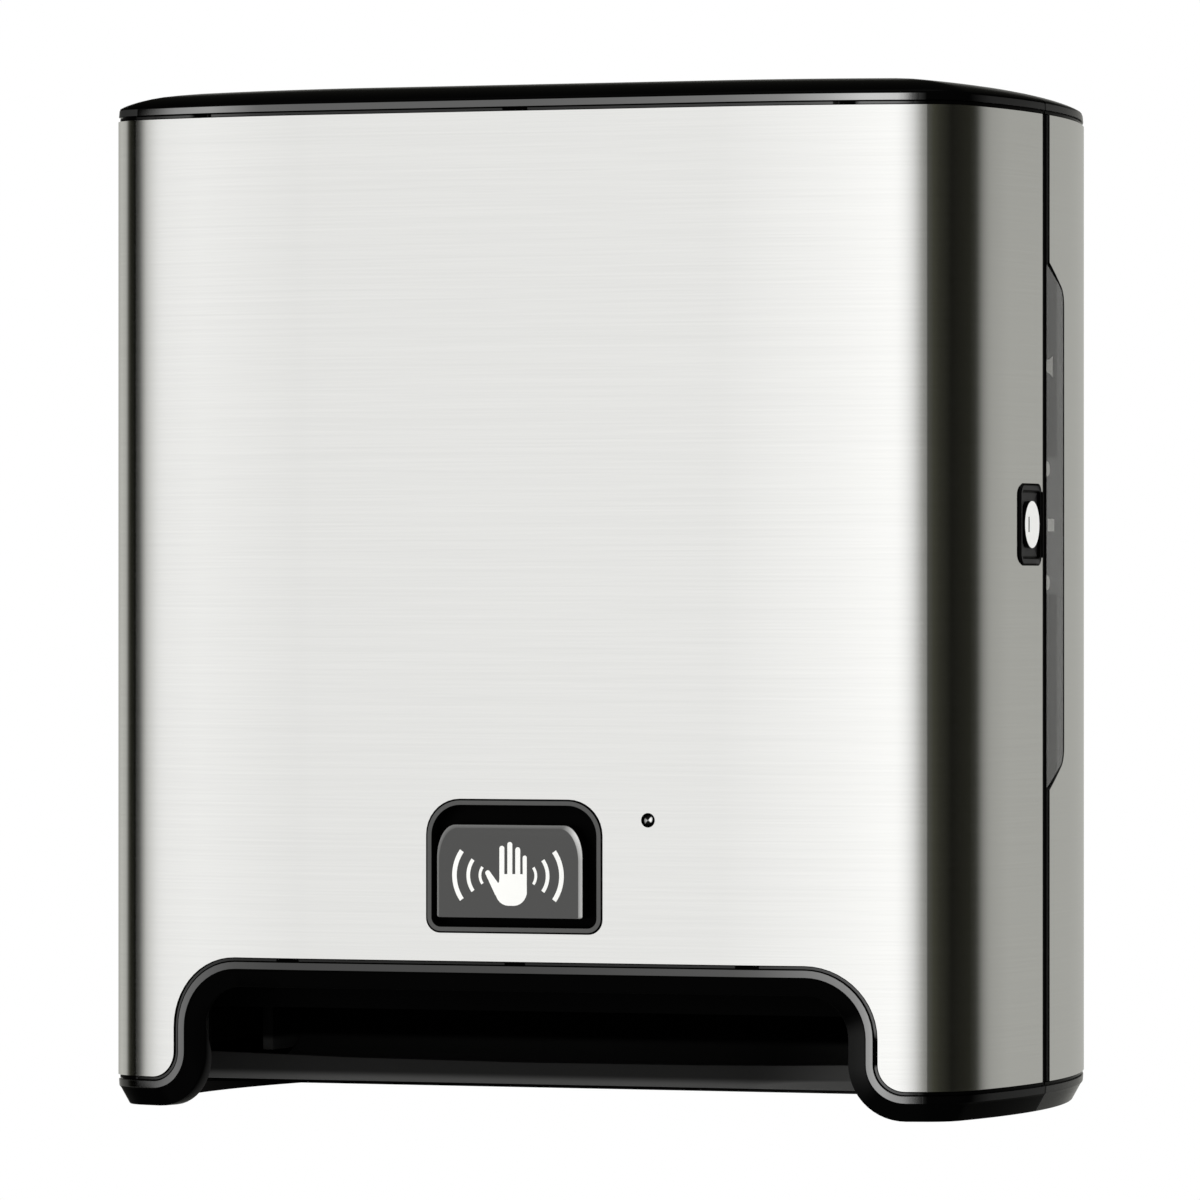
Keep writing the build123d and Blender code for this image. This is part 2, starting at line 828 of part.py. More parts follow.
def hinge_leaf(sign, first):
    """A hinge leaf: sign is 1 behind the seam and -1 in front, first is its lowest knuckle."""
    leaf_y = sorted((seam + sign * leaf_gap, seam + sign * (leaf_gap + leaf_t)))
    with BuildPart() as leaf:
        block((hinge_x, leaf_end), leaf_y, (hinge_low, hinge_high))
        for index in range(knuckles):
            span = (hinge_low + index * knuckle_l, hinge_low + (index + 1) * knuckle_l)
            pillar(hinge_x, seam, knuckle_r + knuckle_gap, span, mode=Mode.SUBTRACT)
            if index % 2 == first:
                pillar(hinge_x, seam, knuckle_r, (span[0] + knuckle_gap / 2, span[1] - knuckle_gap / 2))
                block((hinge_x, hinge_x + 2 * knuckle_r), leaf_y, (span[0] + knuckle_gap / 2, span[1] - knuckle_gap / 2))
        pillar(hinge_x, seam, pin_r + run_gap, (hinge_low - past, hinge_high + past), mode=Mode.SUBTRACT)
    return leaf


save(hinge_leaf(1, 0), "hinge_leaf_rear")
save(hinge_leaf(-1, 1), "hinge_leaf_cover")

with BuildPart() as hinge_pin:
    pillar(hinge_x, seam, pin_r, (hinge_low, hinge_high))
save(hinge_pin, "hinge_pin")

# Towel roll on its cardboard core
core_r = core_bore_r + core_t
with BuildPart() as roll_core:
    rod(roll_y, roll_z, core_r, (-half_roll, half_roll))
    rod(roll_y, roll_z, core_bore_r, (-half_roll - past, half_roll + past), mode=Mode.SUBTRACT)
save(roll_core, "roll_core")

with BuildPart() as paper_roll:
    rod(roll_y, roll_z, roll_r, (-half_roll, half_roll))
    rod(roll_y, roll_z, core_r + run_gap, (-half_roll - past, half_roll + past), mode=Mode.SUBTRACT)
save(paper_roll, "paper_roll")

# Roll arms: the left one stands fixed, the right one swings out to load a roll
flange_x = half_roll + arm_gap
pivot_x = arm_x + pivot_knuckle_r


def hub(sign, base_r):
    """Hub that carries one end of the core: a flange and a plug that tapers to its tip."""
    ends = sorted((sign * arm_x, sign * flange_x))
    rod(roll_y, roll_z, hub_flange_r, ends)
    with BuildSketch(Plane.YZ.offset(sign * flange_x)) as root:
        with Locations((roll_y, roll_z)):
            Circle(base_r)
    with BuildSketch(Plane.YZ.offset(sign * (half_roll - hub_plug_l / 2))) as shoulder:
        with Locations((roll_y, roll_z)):
            Circle((base_r + hub_plug_tip_r) / 2 if sign > 0 else base_r)
    with BuildSketch(Plane.YZ.offset(sign * (half_roll - hub_plug_l))) as tip:
        with Locations((roll_y, roll_z)):
            Circle(hub_plug_tip_r)
    loft([root.sketch, shoulder.sketch, tip.sketch], ruled=True)


def arm_plate(sign, root_y, root_half):
    """Flat arm from its root near the wall to a round end at the roll's axis."""
    with BuildSketch(Plane.YZ.offset(min(sign * arm_x, sign * (arm_x + arm_t)))) as side:
        with Locations((roll_y, roll_z)):
            Circle(arm_tip_r)
        with Locations((root_y, roll_z)):
            Rectangle(arm_t, 2 * root_half)
        make_hull()
    extrude(side.sketch, amount=arm_t)


with BuildPart() as roll_arm_left:
    arm_plate(-1, wall_in - arm_t / 2, arm_root_r)
    foot_x = (-arm_x - arm_t - arm_foot_w, -arm_x)
    block(foot_x, (wall_in - arm_foot_t, wall_in), (roll_z - arm_root_r, roll_z + arm_root_r))
    hub(-1, core_bore_r - fit_gap)
save(roll_arm_left, "roll_arm_left")

with BuildPart() as roll_arm_right:
    arm_plate(1, pivot_y, pivot_half)
    pillar(pivot_x, pivot_y, pivot_knuckle_r, (roll_z - pivot_half, roll_z + pivot_half))
    hub(1, core_bore_r - hub_plug_swing_gap)
    pillar(pivot_x, pivot_y, pivot_r + run_gap, (bottom, height), mode=Mode.SUBTRACT)
save(roll_arm_right, "roll_arm_right")

# Arm bracket: a wall plate with two lugs, and the pivot pin through them
lug_in = pivot_half + end_play
lug_out = lug_in + lug_t
with BuildPart() as arm_bracket:
    bracket_x = (pivot_x - 2 * pivot_knuckle_r, pivot_x + 2 * pivot_knuckle_r)
    lug_x_span = (pivot_x - pivot_knuckle_r, pivot_x + pivot_knuckle_r)
    block(bracket_x, (wall_in - arm_foot_t, wall_in), (roll_z - lug_out, roll_z + lug_out))
    for span in ((lug_in, lug_out), (-lug_out, -lug_in)):
        block(lug_x_span, (pivot_y - pivot_knuckle_r, wall_in), (roll_z + span[0], roll_z + span[1]))
    pillar(pivot_x, pivot_y, pivot_r + run_gap, (bottom, height), mode=Mode.SUBTRACT)
save(arm_bracket, "arm_bracket")

with BuildPart() as arm_pin:
    pillar(pivot_x, pivot_y, pivot_r, (roll_z - lug_out, roll_z + lug_out))
save(arm_pin, "arm_pin")

# Feed rollers
press_y = drive_y - sqrt((drive_sleeve_r + press_r + nip_gap) ** 2 - press_drop**2)
press_z = drive_z - press_drop
plate_out = plate_x + plate_t
gear_x = (plate_out + gear_side_gap, plate_out + gear_side_gap + gear_face)
gear_distance = gear_module * (gear_teeth + pinion_teeth) / 2
gear_angle = radians(gear_line)
motor_y = drive_y + gear_distance * cos(gear_angle)
motor_z = drive_z + gear_distance * sin(gear_angle)
sleeve_places = [(index - (sleeve_count - 1) / 2) * sleeve_pitch for index in range(sleeve_count)]

with BuildPart() as drive_roller:
    rod(drive_y, drive_z, drive_core_r, (-plate_x + end_play, plate_x - end_play))
    rod(drive_y, drive_z, shaft_r, (-plate_out - end_play, gear_x[1]))
save(drive_roller, "drive_roller")


def sleeves(y, z, bore, radius):
    """A row of separate rubber sleeves along a roller."""
    with BuildPart() as row:
        for x in sleeve_places:
            rod(y, z, radius, (x - sleeve_w / 2, x + sleeve_w / 2))
        rod(y, z, bore, (-plate_x, plate_x), mode=Mode.SUBTRACT)
    return row


save(sleeves(drive_y, drive_z, drive_core_r + run_gap, drive_sleeve_r), "drive_sleeves")

with BuildPart() as pressure_shaft:
    rod(press_y, press_z, press_shaft_r, (-plate_out - end_play, plate_out + end_play))
save(pressure_shaft, "pressure_shaft")
save(sleeves(press_y, press_z, press_shaft_r + run_gap, press_r), "pressure_sleeves")


def gear(y, z, teeth, phase):
    """A spur gear of the feed train with involute flanks, its first tooth at the angle phase."""
    pitch_r = gear_module * teeth / 2
    base_r = pitch_r * cos(radians(pressure_angle))
    tip_r = pitch_r + addendum * gear_module
    root_r = pitch_r - dedendum * gear_module
    start_r = max(root_r, base_r)

    def half_angle(radius):
        roll = acos(base_r / radius)
        pitch_roll = radians(pressure_angle)
        return pi * tooth_share / teeth + tan(pitch_roll) - pitch_roll - tan(roll) + roll

    half = [(radius, half_angle(radius)) for radius in (start_r, pitch_r, tip_r)]
    if start_r > root_r:
        half.insert(0, (root_r, half_angle(start_r)))
    points = []
    for index in range(teeth):
        middle = phase + 2 * pi * index / teeth
        points += [(r, middle - a) for r, a in half] + [(r, middle + a) for r, a in reversed(half)]
    with BuildSketch(Plane.YZ.offset(gear_x[0])) as face:
        with BuildLine():
            Polyline(*[(y + r * cos(a), z + r * sin(a)) for r, a in points], close=True)
        make_face()
    extrude(face.sketch, amount=gear_face)


with BuildPart() as drive_gear:
    gear(drive_y, drive_z, gear_teeth, gear_angle)
    rod(drive_y, drive_z, shaft_r + run_gap, (0, width), mode=Mode.SUBTRACT)
save(drive_gear, "drive_gear")

motor_face = plate_x - fit_gap
with BuildPart() as motor_pinion:
    gear(motor_y, motor_z, pinion_teeth, gear_angle + pi + pi / pinion_teeth)
    rod(motor_y, motor_z, motor_shaft_r, (motor_face - motor_grip, gear_x[1]))
save(motor_pinion, "motor_pinion")

with BuildPart() as motor:
    rod(motor_y, motor_z, motor_r, (motor_face - motor_l, motor_face))
    rod(motor_y, motor_z, motor_r / 3, (motor_face - motor_l - box_t, motor_face))
    rod(motor_y, motor_z, motor_shaft_r + run_gap, (motor_face - motor_grip - end_play, width), mode=Mode.SUBTRACT)
    chamfer(edges().filter_by(GeomType.CIRCLE).filter_by(lambda e: abs(e.radius - motor_r) < run_gap), motor_bevel)
save(motor, "motor")


def side_plate(sign):
    """One side plate of the feed module, with shaft bores, a cut-out and a foot on the rear wall."""
    low_x = min(sign * plate_x, sign * plate_out)
    span_y = (module_front + fit_gap, wall_in)
    span_z = (module_low, module_top)
    with BuildPart() as plate:
        with BuildSketch(Plane.YZ.offset(low_x)) as side:
            with Locations(((span_y[0] + span_y[1]) / 2, (span_z[0] + span_z[1]) / 2)):
                RectangleRounded(span_y[1] - span_y[0], span_z[1] - span_z[0], plate_corner_r)
        extrude(side.sketch, amount=plate_t)
        open_y = (drive_y + drive_sleeve_r + plate_rim, wall_in - plate_t - plate_rim)
        open_z = (span_z[0] + plate_rim, drive_z - shaft_r)
        with BuildSketch(Plane.YZ.offset(low_x)) as cut_out:
            with Locations(((open_y[0] + open_y[1]) / 2, (open_z[0] + open_z[1]) / 2)):
                RectangleRounded(open_y[1] - open_y[0], open_z[1] - open_z[0], plate_corner_r)
        extrude(cut_out.sketch, amount=plate_t, mode=Mode.SUBTRACT)
        block((low_x, low_x + plate_t), (-depth, chute_y), (bottom, tear_low), mode=Mode.SUBTRACT)
        foot_x = sorted((sign * plate_x, sign * (plate_out + foot_w)))
        block(foot_x, (wall_in - plate_t, wall_in), span_z)
        rod(drive_y, drive_z, shaft_r + run_gap, (-width, width), mode=Mode.SUBTRACT)
        rod(press_y, press_z, press_shaft_r + run_gap, (-width, width), mode=Mode.SUBTRACT)
        rod(motor_y, motor_z, 2 * motor_shaft_r, (-width, width), mode=Mode.SUBTRACT)
    return plate


save(side_plate(1), "side_plate_right")
save(side_plate(-1), "side_plate_left")

# Front panel of the feed module: it widens below to a guard before the tear bar, and has the feed button's bore
with BuildPart() as front_panel:
    block((-plate_out, plate_out), (module_front - panel_t, module_front), (guard_low, module_top))
    block((-lip_half, lip_half), (module_front - panel_t, module_front), (guard_low, panel_low))
    fillet(edges().filter_by(Axis.Y), plate_corner_r)
    post(button_x, button_z, button_stem_r + run_gap, (-depth, 0), mode=Mode.SUBTRACT)
save(front_panel, "front_panel")

# Feed button: cap, stem and a collar that keeps it in the panel
panel_front = module_front - panel_t
cap_back = panel_front - button_travel - button_free
collar_front_y = module_front + fit_gap
with BuildPart() as feed_button:
    post(button_x, button_z, button_r, (cap_back - button_cap_t, cap_back))
    chamfer(edges().sort_by(Axis.Y)[0], button_bevel)
    post(button_x, button_z, button_stem_r, (cap_back, collar_front_y))
    post(button_x, button_z, button_collar_r, (collar_front_y, collar_front_y + button_collar_t))
save(feed_button, "feed_button")

# Tear bar: a thin blade with a saw edge, fixed behind the front panel
inner_half = plate_x - fit_gap
with BuildPart() as tear_bar:
    saw_count = int(2 * inner_half / tooth_pitch)
    saw_half = saw_count * tooth_pitch / 2
    saw = []
    for index in range(saw_count):
        left = -saw_half + index * tooth_pitch
        saw += [(left, tear_low + tooth_h), (left + tooth_pitch / 2, tear_low)]
    saw += [(saw_half, tear_low + tooth_h), (saw_half, tear_low + tear_h), (-saw_half, tear_low + tear_h)]
    with BuildSketch(Plane.XZ.offset(-module_front - fit_gap - tear_t)):
        with BuildLine():
            Polyline(*saw, close=True)
        make_face()
    extrude(amount=tear_t)
save(tear_bar, "tear_bar")

# Chute: a quarter-round guide behind the paper that ends in an upright lip
with BuildPart() as paper_chute:
    slant = sqrt(0.5)
    chute_c = Vector(chute_y, chute_z)
    outer_r = chute_r + chute_t
    with BuildSketch(Plane.YZ.offset(-inner_half)):
        with BuildLine():
            in_end = chute_c + Vector(chute_r, 0)
            out_end = chute_c + Vector(outer_r, 0)
            out_low = chute_c - Vector(0, outer_r)
            in_low = chute_c - Vector(0, chute_r)
            lip_low = in_low - Vector(0, lip_h)
            ThreePointArc(in_low, chute_c + Vector(slant, -slant) * chute_r, in_end)
            Line(in_end, out_end)
            ThreePointArc(out_end, chute_c + Vector(slant, -slant) * outer_r, out_low)
            Polyline(out_low, lip_low, lip_low - Vector(chute_t, 0), in_low - Vector(chute_t, 0), in_low)
        make_face()
    extrude(amount=2 * inner_half)
    lip_end = module_low - end_play
    with BuildSketch(Plane.XZ.offset(-chute_y)) as lip:
        with BuildLine():
            lip_right, lip_left = Vector(lip_half, lip_end), Vector(-lip_half, lip_end)
            ThreePointArc(lip_left, (0, lip_end - lip_dip), lip_right)
            Polyline(lip_right, (lip_half, lip_low.Y), (-lip_half, lip_low.Y), lip_left)
        make_face()
    extrude(lip.sketch, amount=chute_t)
    rib_pitch = 2 * inner_half / (chute_rib_count + 1)
    for index in range(chute_rib_count):
        rib_x = (index + 1) * rib_pitch - inner_half - chute_rib_t / 2
        with BuildSketch(Plane.YZ.offset(rib_x)) as rib:
            with BuildLine():
                rib_r = chute_r - chute_rib_h
                rib_turn = radians(chute_rib_turn)
                start = Vector(cos(rib_turn), -sin(rib_turn))
                middle = Vector(cos(rib_turn / 2), -sin(rib_turn / 2))
                rib_end = chute_c + Vector(rib_r, 0)
                ThreePointArc(chute_c + start * chute_r, chute_c + middle * chute_r, in_end)
                Line(in_end, rib_end)
                ThreePointArc(rib_end, chute_c + middle * rib_r, chute_c + start * rib_r)
                Line(chute_c + start * rib_r, chute_c + start * chute_r)
            make_face()
        extrude(rib.sketch, amount=chute_rib_t)
save(paper_chute, "paper_chute")

# Battery box with two rows of two cells
box_half = cell_l + cell_gap + box_end + box_t
box_in_top = box_top - box_t
box_in_low = box_in_top - cell_pitch
box_rear = wall_in
box_front = box_rear - box_t - 2 * cell_pitch - cell_gap
door_y = box_front - fit_gap - door_t / 2
door_z = box_low + door_t / 2
with BuildPart() as battery_box:
    block((-box_half, box_half), (box_front, box_rear), (box_low, box_top))
    hollow_x = (-box_half + box_t, box_half - box_t)
    block(hollow_x, (box_front - past, box_rear - box_t), (box_in_low, box_in_top), mode=Mode.SUBTRACT)
    for sign in (1, -1):
        ear_x = sorted((sign * box_half, sign * (box_half + lug_x)))
        block(ear_x, (door_y - door_t, box_front + lug_reach), (box_low, box_low + 2 * door_t))
    rod(door_y, door_z, door_pin_r + run_gap, (-width, width), mode=Mode.SUBTRACT)
save(battery_box, "battery_box")

with BuildPart() as battery_cells:
    nub_l = cell_l / 40
    for row in range(2):
        cell_y = box_rear - box_t - cell_pitch * (row + 0.5)
        cell_z = box_in_low + cell_pitch / 2
        for start in (-cell_l - cell_gap / 2, cell_gap / 2):
            rod(cell_y, cell_z, cell_r, (start, start + cell_l - nub_l))
            rod(cell_y, cell_z, cell_r / 3, (start + cell_l - nub_l, start + cell_l))
save(battery_cells, "battery_cells")

with BuildPart() as battery_door:
    door_half = box_half - fit_gap
    block((-door_half, door_half), (door_y - door_t / 2, door_y + door_t / 2), (door_z, box_top))
    rod(door_y, door_z, door_t / 2, (-door_half, door_half))
    rod(door_y, door_z, door_pin_r, (-box_half - lug_x, box_half + lug_x))
save(battery_door, "battery_door")

# Control board with its main components
with BuildPart() as control_board:
    board_back = wall_in - board_post_h
    board_front = board_back - board_t
    block((-board_w / 2, board_w / 2), (board_front, board_back), (board_z - board_h / 2, board_z + board_h / 2))
    chip = board_h / 4
    block((-chip, chip), (board_front - board_t, board_front), (board_z - chip, board_z + chip))
    for x in (board_w / 4, board_w / 3):
        post(x, board_z - chip, chip / 3, (board_front - chip, board_front))
    plug_x = (-board_w / 2 + chip / 2, -board_w / 2 + 2 * chip)
    block(plug_x, (board_front - chip / 2, board_front), (board_z, board_z + chip / 2))
save(control_board, "control_board")
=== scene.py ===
# %% [markdown]
# A touch-free towel dispenser, dressed for a photograph.
# The CAD model gives every piece its place, so this lesson only makes the surfaces that the eye rests on:
# the bent steel wrap, the mouldings along its edges, sensor pocket, lock plate and the towel roll inside.
# All other pieces are the CAD solids with softened edges and finishes made of nodes.

# %% Load the frame
import json

import bmesh
import bpy
import numpy as np
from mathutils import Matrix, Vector, geometry

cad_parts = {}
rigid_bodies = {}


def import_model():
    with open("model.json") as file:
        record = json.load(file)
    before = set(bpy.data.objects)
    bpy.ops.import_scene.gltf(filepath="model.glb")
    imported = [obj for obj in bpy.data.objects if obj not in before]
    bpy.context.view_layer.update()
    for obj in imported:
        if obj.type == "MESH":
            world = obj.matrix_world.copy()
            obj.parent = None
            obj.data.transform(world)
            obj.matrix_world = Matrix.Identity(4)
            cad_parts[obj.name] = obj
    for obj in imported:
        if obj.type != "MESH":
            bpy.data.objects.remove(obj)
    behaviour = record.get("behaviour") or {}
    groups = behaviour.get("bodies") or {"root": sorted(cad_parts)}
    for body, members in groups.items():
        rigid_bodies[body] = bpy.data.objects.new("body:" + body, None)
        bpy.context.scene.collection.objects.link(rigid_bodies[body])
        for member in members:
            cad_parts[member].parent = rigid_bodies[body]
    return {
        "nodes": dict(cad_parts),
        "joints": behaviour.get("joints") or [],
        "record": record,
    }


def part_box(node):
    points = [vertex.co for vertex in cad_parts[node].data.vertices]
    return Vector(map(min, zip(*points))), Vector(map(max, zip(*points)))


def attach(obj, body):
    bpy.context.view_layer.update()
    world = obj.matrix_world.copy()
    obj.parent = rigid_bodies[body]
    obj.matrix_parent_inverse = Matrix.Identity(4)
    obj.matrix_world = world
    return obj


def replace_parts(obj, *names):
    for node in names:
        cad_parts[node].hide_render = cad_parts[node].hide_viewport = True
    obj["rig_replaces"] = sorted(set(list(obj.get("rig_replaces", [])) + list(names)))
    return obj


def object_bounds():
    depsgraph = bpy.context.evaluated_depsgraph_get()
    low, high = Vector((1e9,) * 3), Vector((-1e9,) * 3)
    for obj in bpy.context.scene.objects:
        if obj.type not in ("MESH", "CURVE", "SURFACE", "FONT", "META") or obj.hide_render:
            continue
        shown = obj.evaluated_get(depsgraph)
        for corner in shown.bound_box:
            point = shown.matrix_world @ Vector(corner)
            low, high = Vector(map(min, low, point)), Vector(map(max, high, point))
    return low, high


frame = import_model()
nodes = frame["nodes"]
cad_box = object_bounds()
MM = 0.001
print("nodes", len(nodes), "box", [round(v, 4) for corner in cad_box for v in corner])

# %% [markdown]
# Finishes are written as sums, not as boxes and wires.
# A Field wraps one output socket, and each operator adds the Math node that it stands for.
# Every other node comes from Finish.node, which sets the node first and fills its inputs after.


# %% A small language for shader nodes
class Field:
    """One value that changes over a surface, held as a node's output socket."""

    def __init__(self, finish, socket):
        self.finish, self.socket = finish, socket

    def math(self, operation, *others):
        """A Math node on this value and others, as a new value."""
        inputs = dict(enumerate((self, *others)))
        return self.finish.node("ShaderNodeMath", {"operation": operation}, inputs)

    def __add__(self, other):
        return self.math("ADD", other)

    def __mul__(self, other):
        return self.math("MULTIPLY", other)

    def __sub__(self, other):
        return self.math("SUBTRACT", other)

    def other(self, name):
        """Another output of the node that this value comes from."""
        return Field(self.finish, self.socket.node.outputs[name])

    __radd__ = __add__


finishes = {}


class Finish:
    """A material, or the world, whose nodes are added from Python."""

    def __init__(self, name, owner=None):
        self.name, self.owner = name, owner or bpy.data.materials.new(name)
        self.owner.use_nodes = True
        self.tree = self.owner.node_tree
        self.tree.nodes.clear()

    def node(self, kind, settings=None, inputs=None, out=0):
        """Add a node: its settings are set first, then its sockets get values or links."""
        made = self.tree.nodes.new(kind)
        for key, value in (settings or {}).items():
            setattr(made, key, value)
        for key, value in (inputs or {}).items():
            socket = made.inputs[key]
            if isinstance(value, Field):
                self.tree.links.new(value.socket, socket)
            else:
                socket.default_value = value
        return Field(self, made.outputs[out]) if made.outputs else made

    def place(self, middle=(0, 0, 0), stretch=1):
        """Object coordinates, counted from middle or stretched."""
        inputs = {"Vector": self.node("ShaderNodeTexCoord", out="Object")}
        inputs |= {"Location": [-v for v in middle], "Scale": np.broadcast_to(stretch, 3).tolist()}
        return self.node("ShaderNodeMapping", {}, inputs)

    def axes(self, middle=(0, 0, 0)):
        """The X of Object coordinates counted from middle; its other outputs are Y and Z."""
        return self.node("ShaderNodeSeparateXYZ", {}, {0: self.place(middle)})

    def noise(self, stretch, detail=3.0, roughness=0.55):
        """Noise on Object coordinates; stretch is the number of grains per metre, or three for X, Y and Z."""
        inputs = {"Vector": self.place(stretch=stretch), "Scale": 1.0, "Detail": detail, "Roughness": roughness}
        return self.node("ShaderNodeTexNoise", {}, inputs)

    def shade(self, low, high, amount):
        """A colour between two, each a grey, three numbers or a Field."""
        low, high = (c if isinstance(c, Field) else (*np.broadcast_to(c, 3).tolist(), 1) for c in (low, high))
        return self.node("ShaderNodeMix", {"data_type": "RGBA"}, {0: amount, 6: low, 7: high}, out=2)

    def drift(self, tone, low, high, amount):
        """A tone that moves between two shares of itself."""
        tone = np.broadcast_to(tone, 3)
        return self.shade(tone * low, np.minimum(tone * high, 1), amount)

    def ease(self, value, start, end, low, high):
        """A value that eases from low to high while another goes from start to end."""
        inputs = {"Value": value, "From Min": start, "From Max": end, "To Min": low, "To Max": high}
        return self.node("ShaderNodeMapRange", {"interpolation_type": "SMOOTHSTEP"}, inputs)

    def bump(self, height, distance, strength):
        """A Bump node on a height."""
        return self.node("ShaderNodeBump", {}, {"Height": height, "Distance": distance, "Strength": strength})

    def surface(self, **sockets):
        """Close the material with a Principled BSDF, _ for spaces in names, and keep it under its name."""
        inputs = {name.replace("_", " "): value for name, value in sockets.items()}
        shader = self.node("ShaderNodeBsdfPrincipled", {}, inputs)
        self.node("ShaderNodeOutputMaterial", {}, {"Surface": shader})
        finishes[self.name] = self.owner


# %% [markdown]
# Steel for washrooms is brushed along its length before it is bent, so fine scratches run level all round.
# Noise that is stretched a thousand times along the level directions gives those scratches,
# and an anisotropic highlight spreads the reflections up and down, across the scratches.


# %% Brushed steel
def brushed_steel(name, tone, roughness):
    """Level scratches: long noise in X and Y, short in Z; it moves tone, gloss and relief a little."""
    steel = Finish(name)
    streak = steel.noise((12, 12, 1500), roughness=0.7) * 0.8 + steel.noise((5, 5, 330), detail=2) * 0.2
    steel.surface(
        Base_Color=steel.drift(tone, 0.92, 1.07, streak),
        Metallic=1.0,
        Roughness=roughness + (streak - 0.5) * 0.05,
        Anisotropic=1.0,
        Anisotropic_Rotation=0.25,
        Normal=steel.bump(streak, 0.00002, 0.25),
    )


brushed_steel("steel_wrap", (0.80, 0.80, 0.79), 0.13)
brushed_steel("zinc", (0.58, 0.59, 0.60), 0.38)

# %% [markdown]
# The mouldings are black plastic with the very fine grain of a spark-eroded tool.
# One function makes all the plastics: a base tone with slight clouding, a gloss that follows the clouding,
# and a grain in relief whose size is given in grains per metre. Where a piece asks for it, a value at each point
# moves the tone towards a lighter one: painted light, a painted reflection on bevels and faces that mirror the
# studio.

# %% Moulded plastics
BLACK = 0.001
# Where the chute's lip is painted lighter and by how much: painted light, read from the place on the piece.
LIP_TOP, LIP_FOOT, FOOT_GAIN = (-0.162, -0.1645), (-0.1745, -0.1775), 5.5
LIP_RIGHT, LIP_LEVELS = (0.07, 0.125), (0.165, 0.78)


def mesh_painted_light_and_tone(finish):
    """The painted light that a mesh carries at each point, or zero; on the sensor pad it also holds the face's own
    grey.
    """
    return finish.node("ShaderNodeAttribute", {"attribute_name": "band"}, out="Fac")


def lip_painted_light(finish):
    """Painted light on the chute's lip: lighter at its lower edge and to the right, where more light arrives."""
    across = finish.axes()
    up = across.other("Z")
    level = finish.ease(up, *LIP_TOP, 0, 1) * finish.ease(across, *LIP_RIGHT, *LIP_LEVELS)
    return level * finish.ease(up, *LIP_FOOT, 1, FOOT_GAIN)


def moulded(name, tone, matt, grain=2200, relief=0.00002, shine=0.3, band=None, metal=0.0, painted_light_and_tone_from=mesh_painted_light_and_tone):
    """Plastic from a tool: clouded tone, uneven gloss and a fine grain.

    Where the painted light is above zero the tone moves towards the given lighter tone, and the plastic may turn
    metallic:
    a painted reflection, as on a bevel that mirrors a screen. On the sensor pad the same value also gives the face
    its own grey.
    """
    plastic = Finish(name)
    cloud = plastic.noise(14, detail=4)
    colour = plastic.drift(tone, 0.85, 1.15, cloud)
    sockets = {"Roughness": matt + (cloud - 0.5) * 0.10, "Specular_IOR_Level": shine}
    if band:
        value = painted_light_and_tone_from(plastic)
        colour = plastic.shade(colour, band, value)
        sockets["Metallic"] = plastic.ease(value, 0.05, 0.06, 0, metal)
    skin = plastic.bump(plastic.noise(grain, detail=1), relief, 0.4)
    plastic.surface(Base_Color=colour, Normal=skin, **sockets)


moulded("black_shell", 0.003, 0.45, shine=0.012)
# Trim, sensor, pad and lock finishes carry a lighter tone for painted light on bevels and flat faces; on the pad it
# also gives its face its own grey.
moulded("black_trim", BLACK, 0.12, shine=0.005, band=0.5, metal=1.0)
moulded("sensor_black", BLACK, 0.3, shine=0.015, band=0.085)
moulded("pad_grey", BLACK, 0.45, shine=0.05, band=0.75)
moulded("lock_grey", BLACK, 0.35, shine=0.03, band=(0.03, 0.03, 0.031))
moulded("hinge_dark", 0.02, 0.4)
moulded("arm_grey", (0.16, 0.16, 0.17), 0.4)
# The dark module is painted lighter on the chute's lip only: painted light.
moulded("module_dark", BLACK, 0.4, shine=0.01, band=0.08, painted_light_and_tone_from=lip_painted_light)
moulded("gear_white", (0.74, 0.74, 0.70), 0.35)
moulded("button_green", (0.07, 0.30, 0.13), 0.3)
moulded("roller_rubber", (0.035, 0.035, 0.036), 0.7, grain=900, relief=0.00006)
moulded("sign_white", (0.86, 0.86, 0.85), 0.45)

# %% [markdown]
# Other finishes need more than plastic: the key disc, its face painted near white and its side and keyway painted
# black, the smoked pane, the lamp's bead with its painted highlight, and the paper.
# The towel roll shows its wound layers as rings on its ends, so its relief follows the
# distance from the roll's axis, which is worked out from Object coordinates.

# %% Key disc: its chrome painted near white on the outer face, a painted reflection; its side and keyway painted black, a painted shade
disc = Finish("lock_chrome")
key_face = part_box("lock_cylinder")[1].x
# The colour goes from black on the side to near white on the face: painted shade and a painted reflection, with no
# metal.
outer = disc.ease(disc.axes(), key_face - 0.3 * MM, key_face - 0.1 * MM, 0, 1)
colour = disc.shade(BLACK, disc.drift(0.95, 0.95, 1, disc.noise(60)), outer)
disc.surface(Base_Color=colour, Roughness=0.3, Specular_IOR_Level=0.1)

# %% Smoked pane: two thirds pass through; it is darker along its front, above and below the catch
SMOKE, SMOKE_FRONT = 0.30, 0.30 * 0.68
DIM_FRONT, CATCH_Z, CATCH_HALF = (-0.1045, -0.1040), 0.0254, (0.0245, 0.0250)
smoked = Finish("smoked_window")
across = smoked.axes()
front = smoked.ease(across.other("Y"), *DIM_FRONT, 1, 0)
away = smoked.ease((across.other("Z") - CATCH_Z).math("ABSOLUTE"), *CATCH_HALF, 0, 1)
colour = smoked.shade(smoked.drift(SMOKE, 0.95, 1, smoked.noise(30)), SMOKE_FRONT, front * away)
smoked.surface(Base_Color=colour, Roughness=0.25, Alpha=0.35, Specular_IOR_Level=0.2)

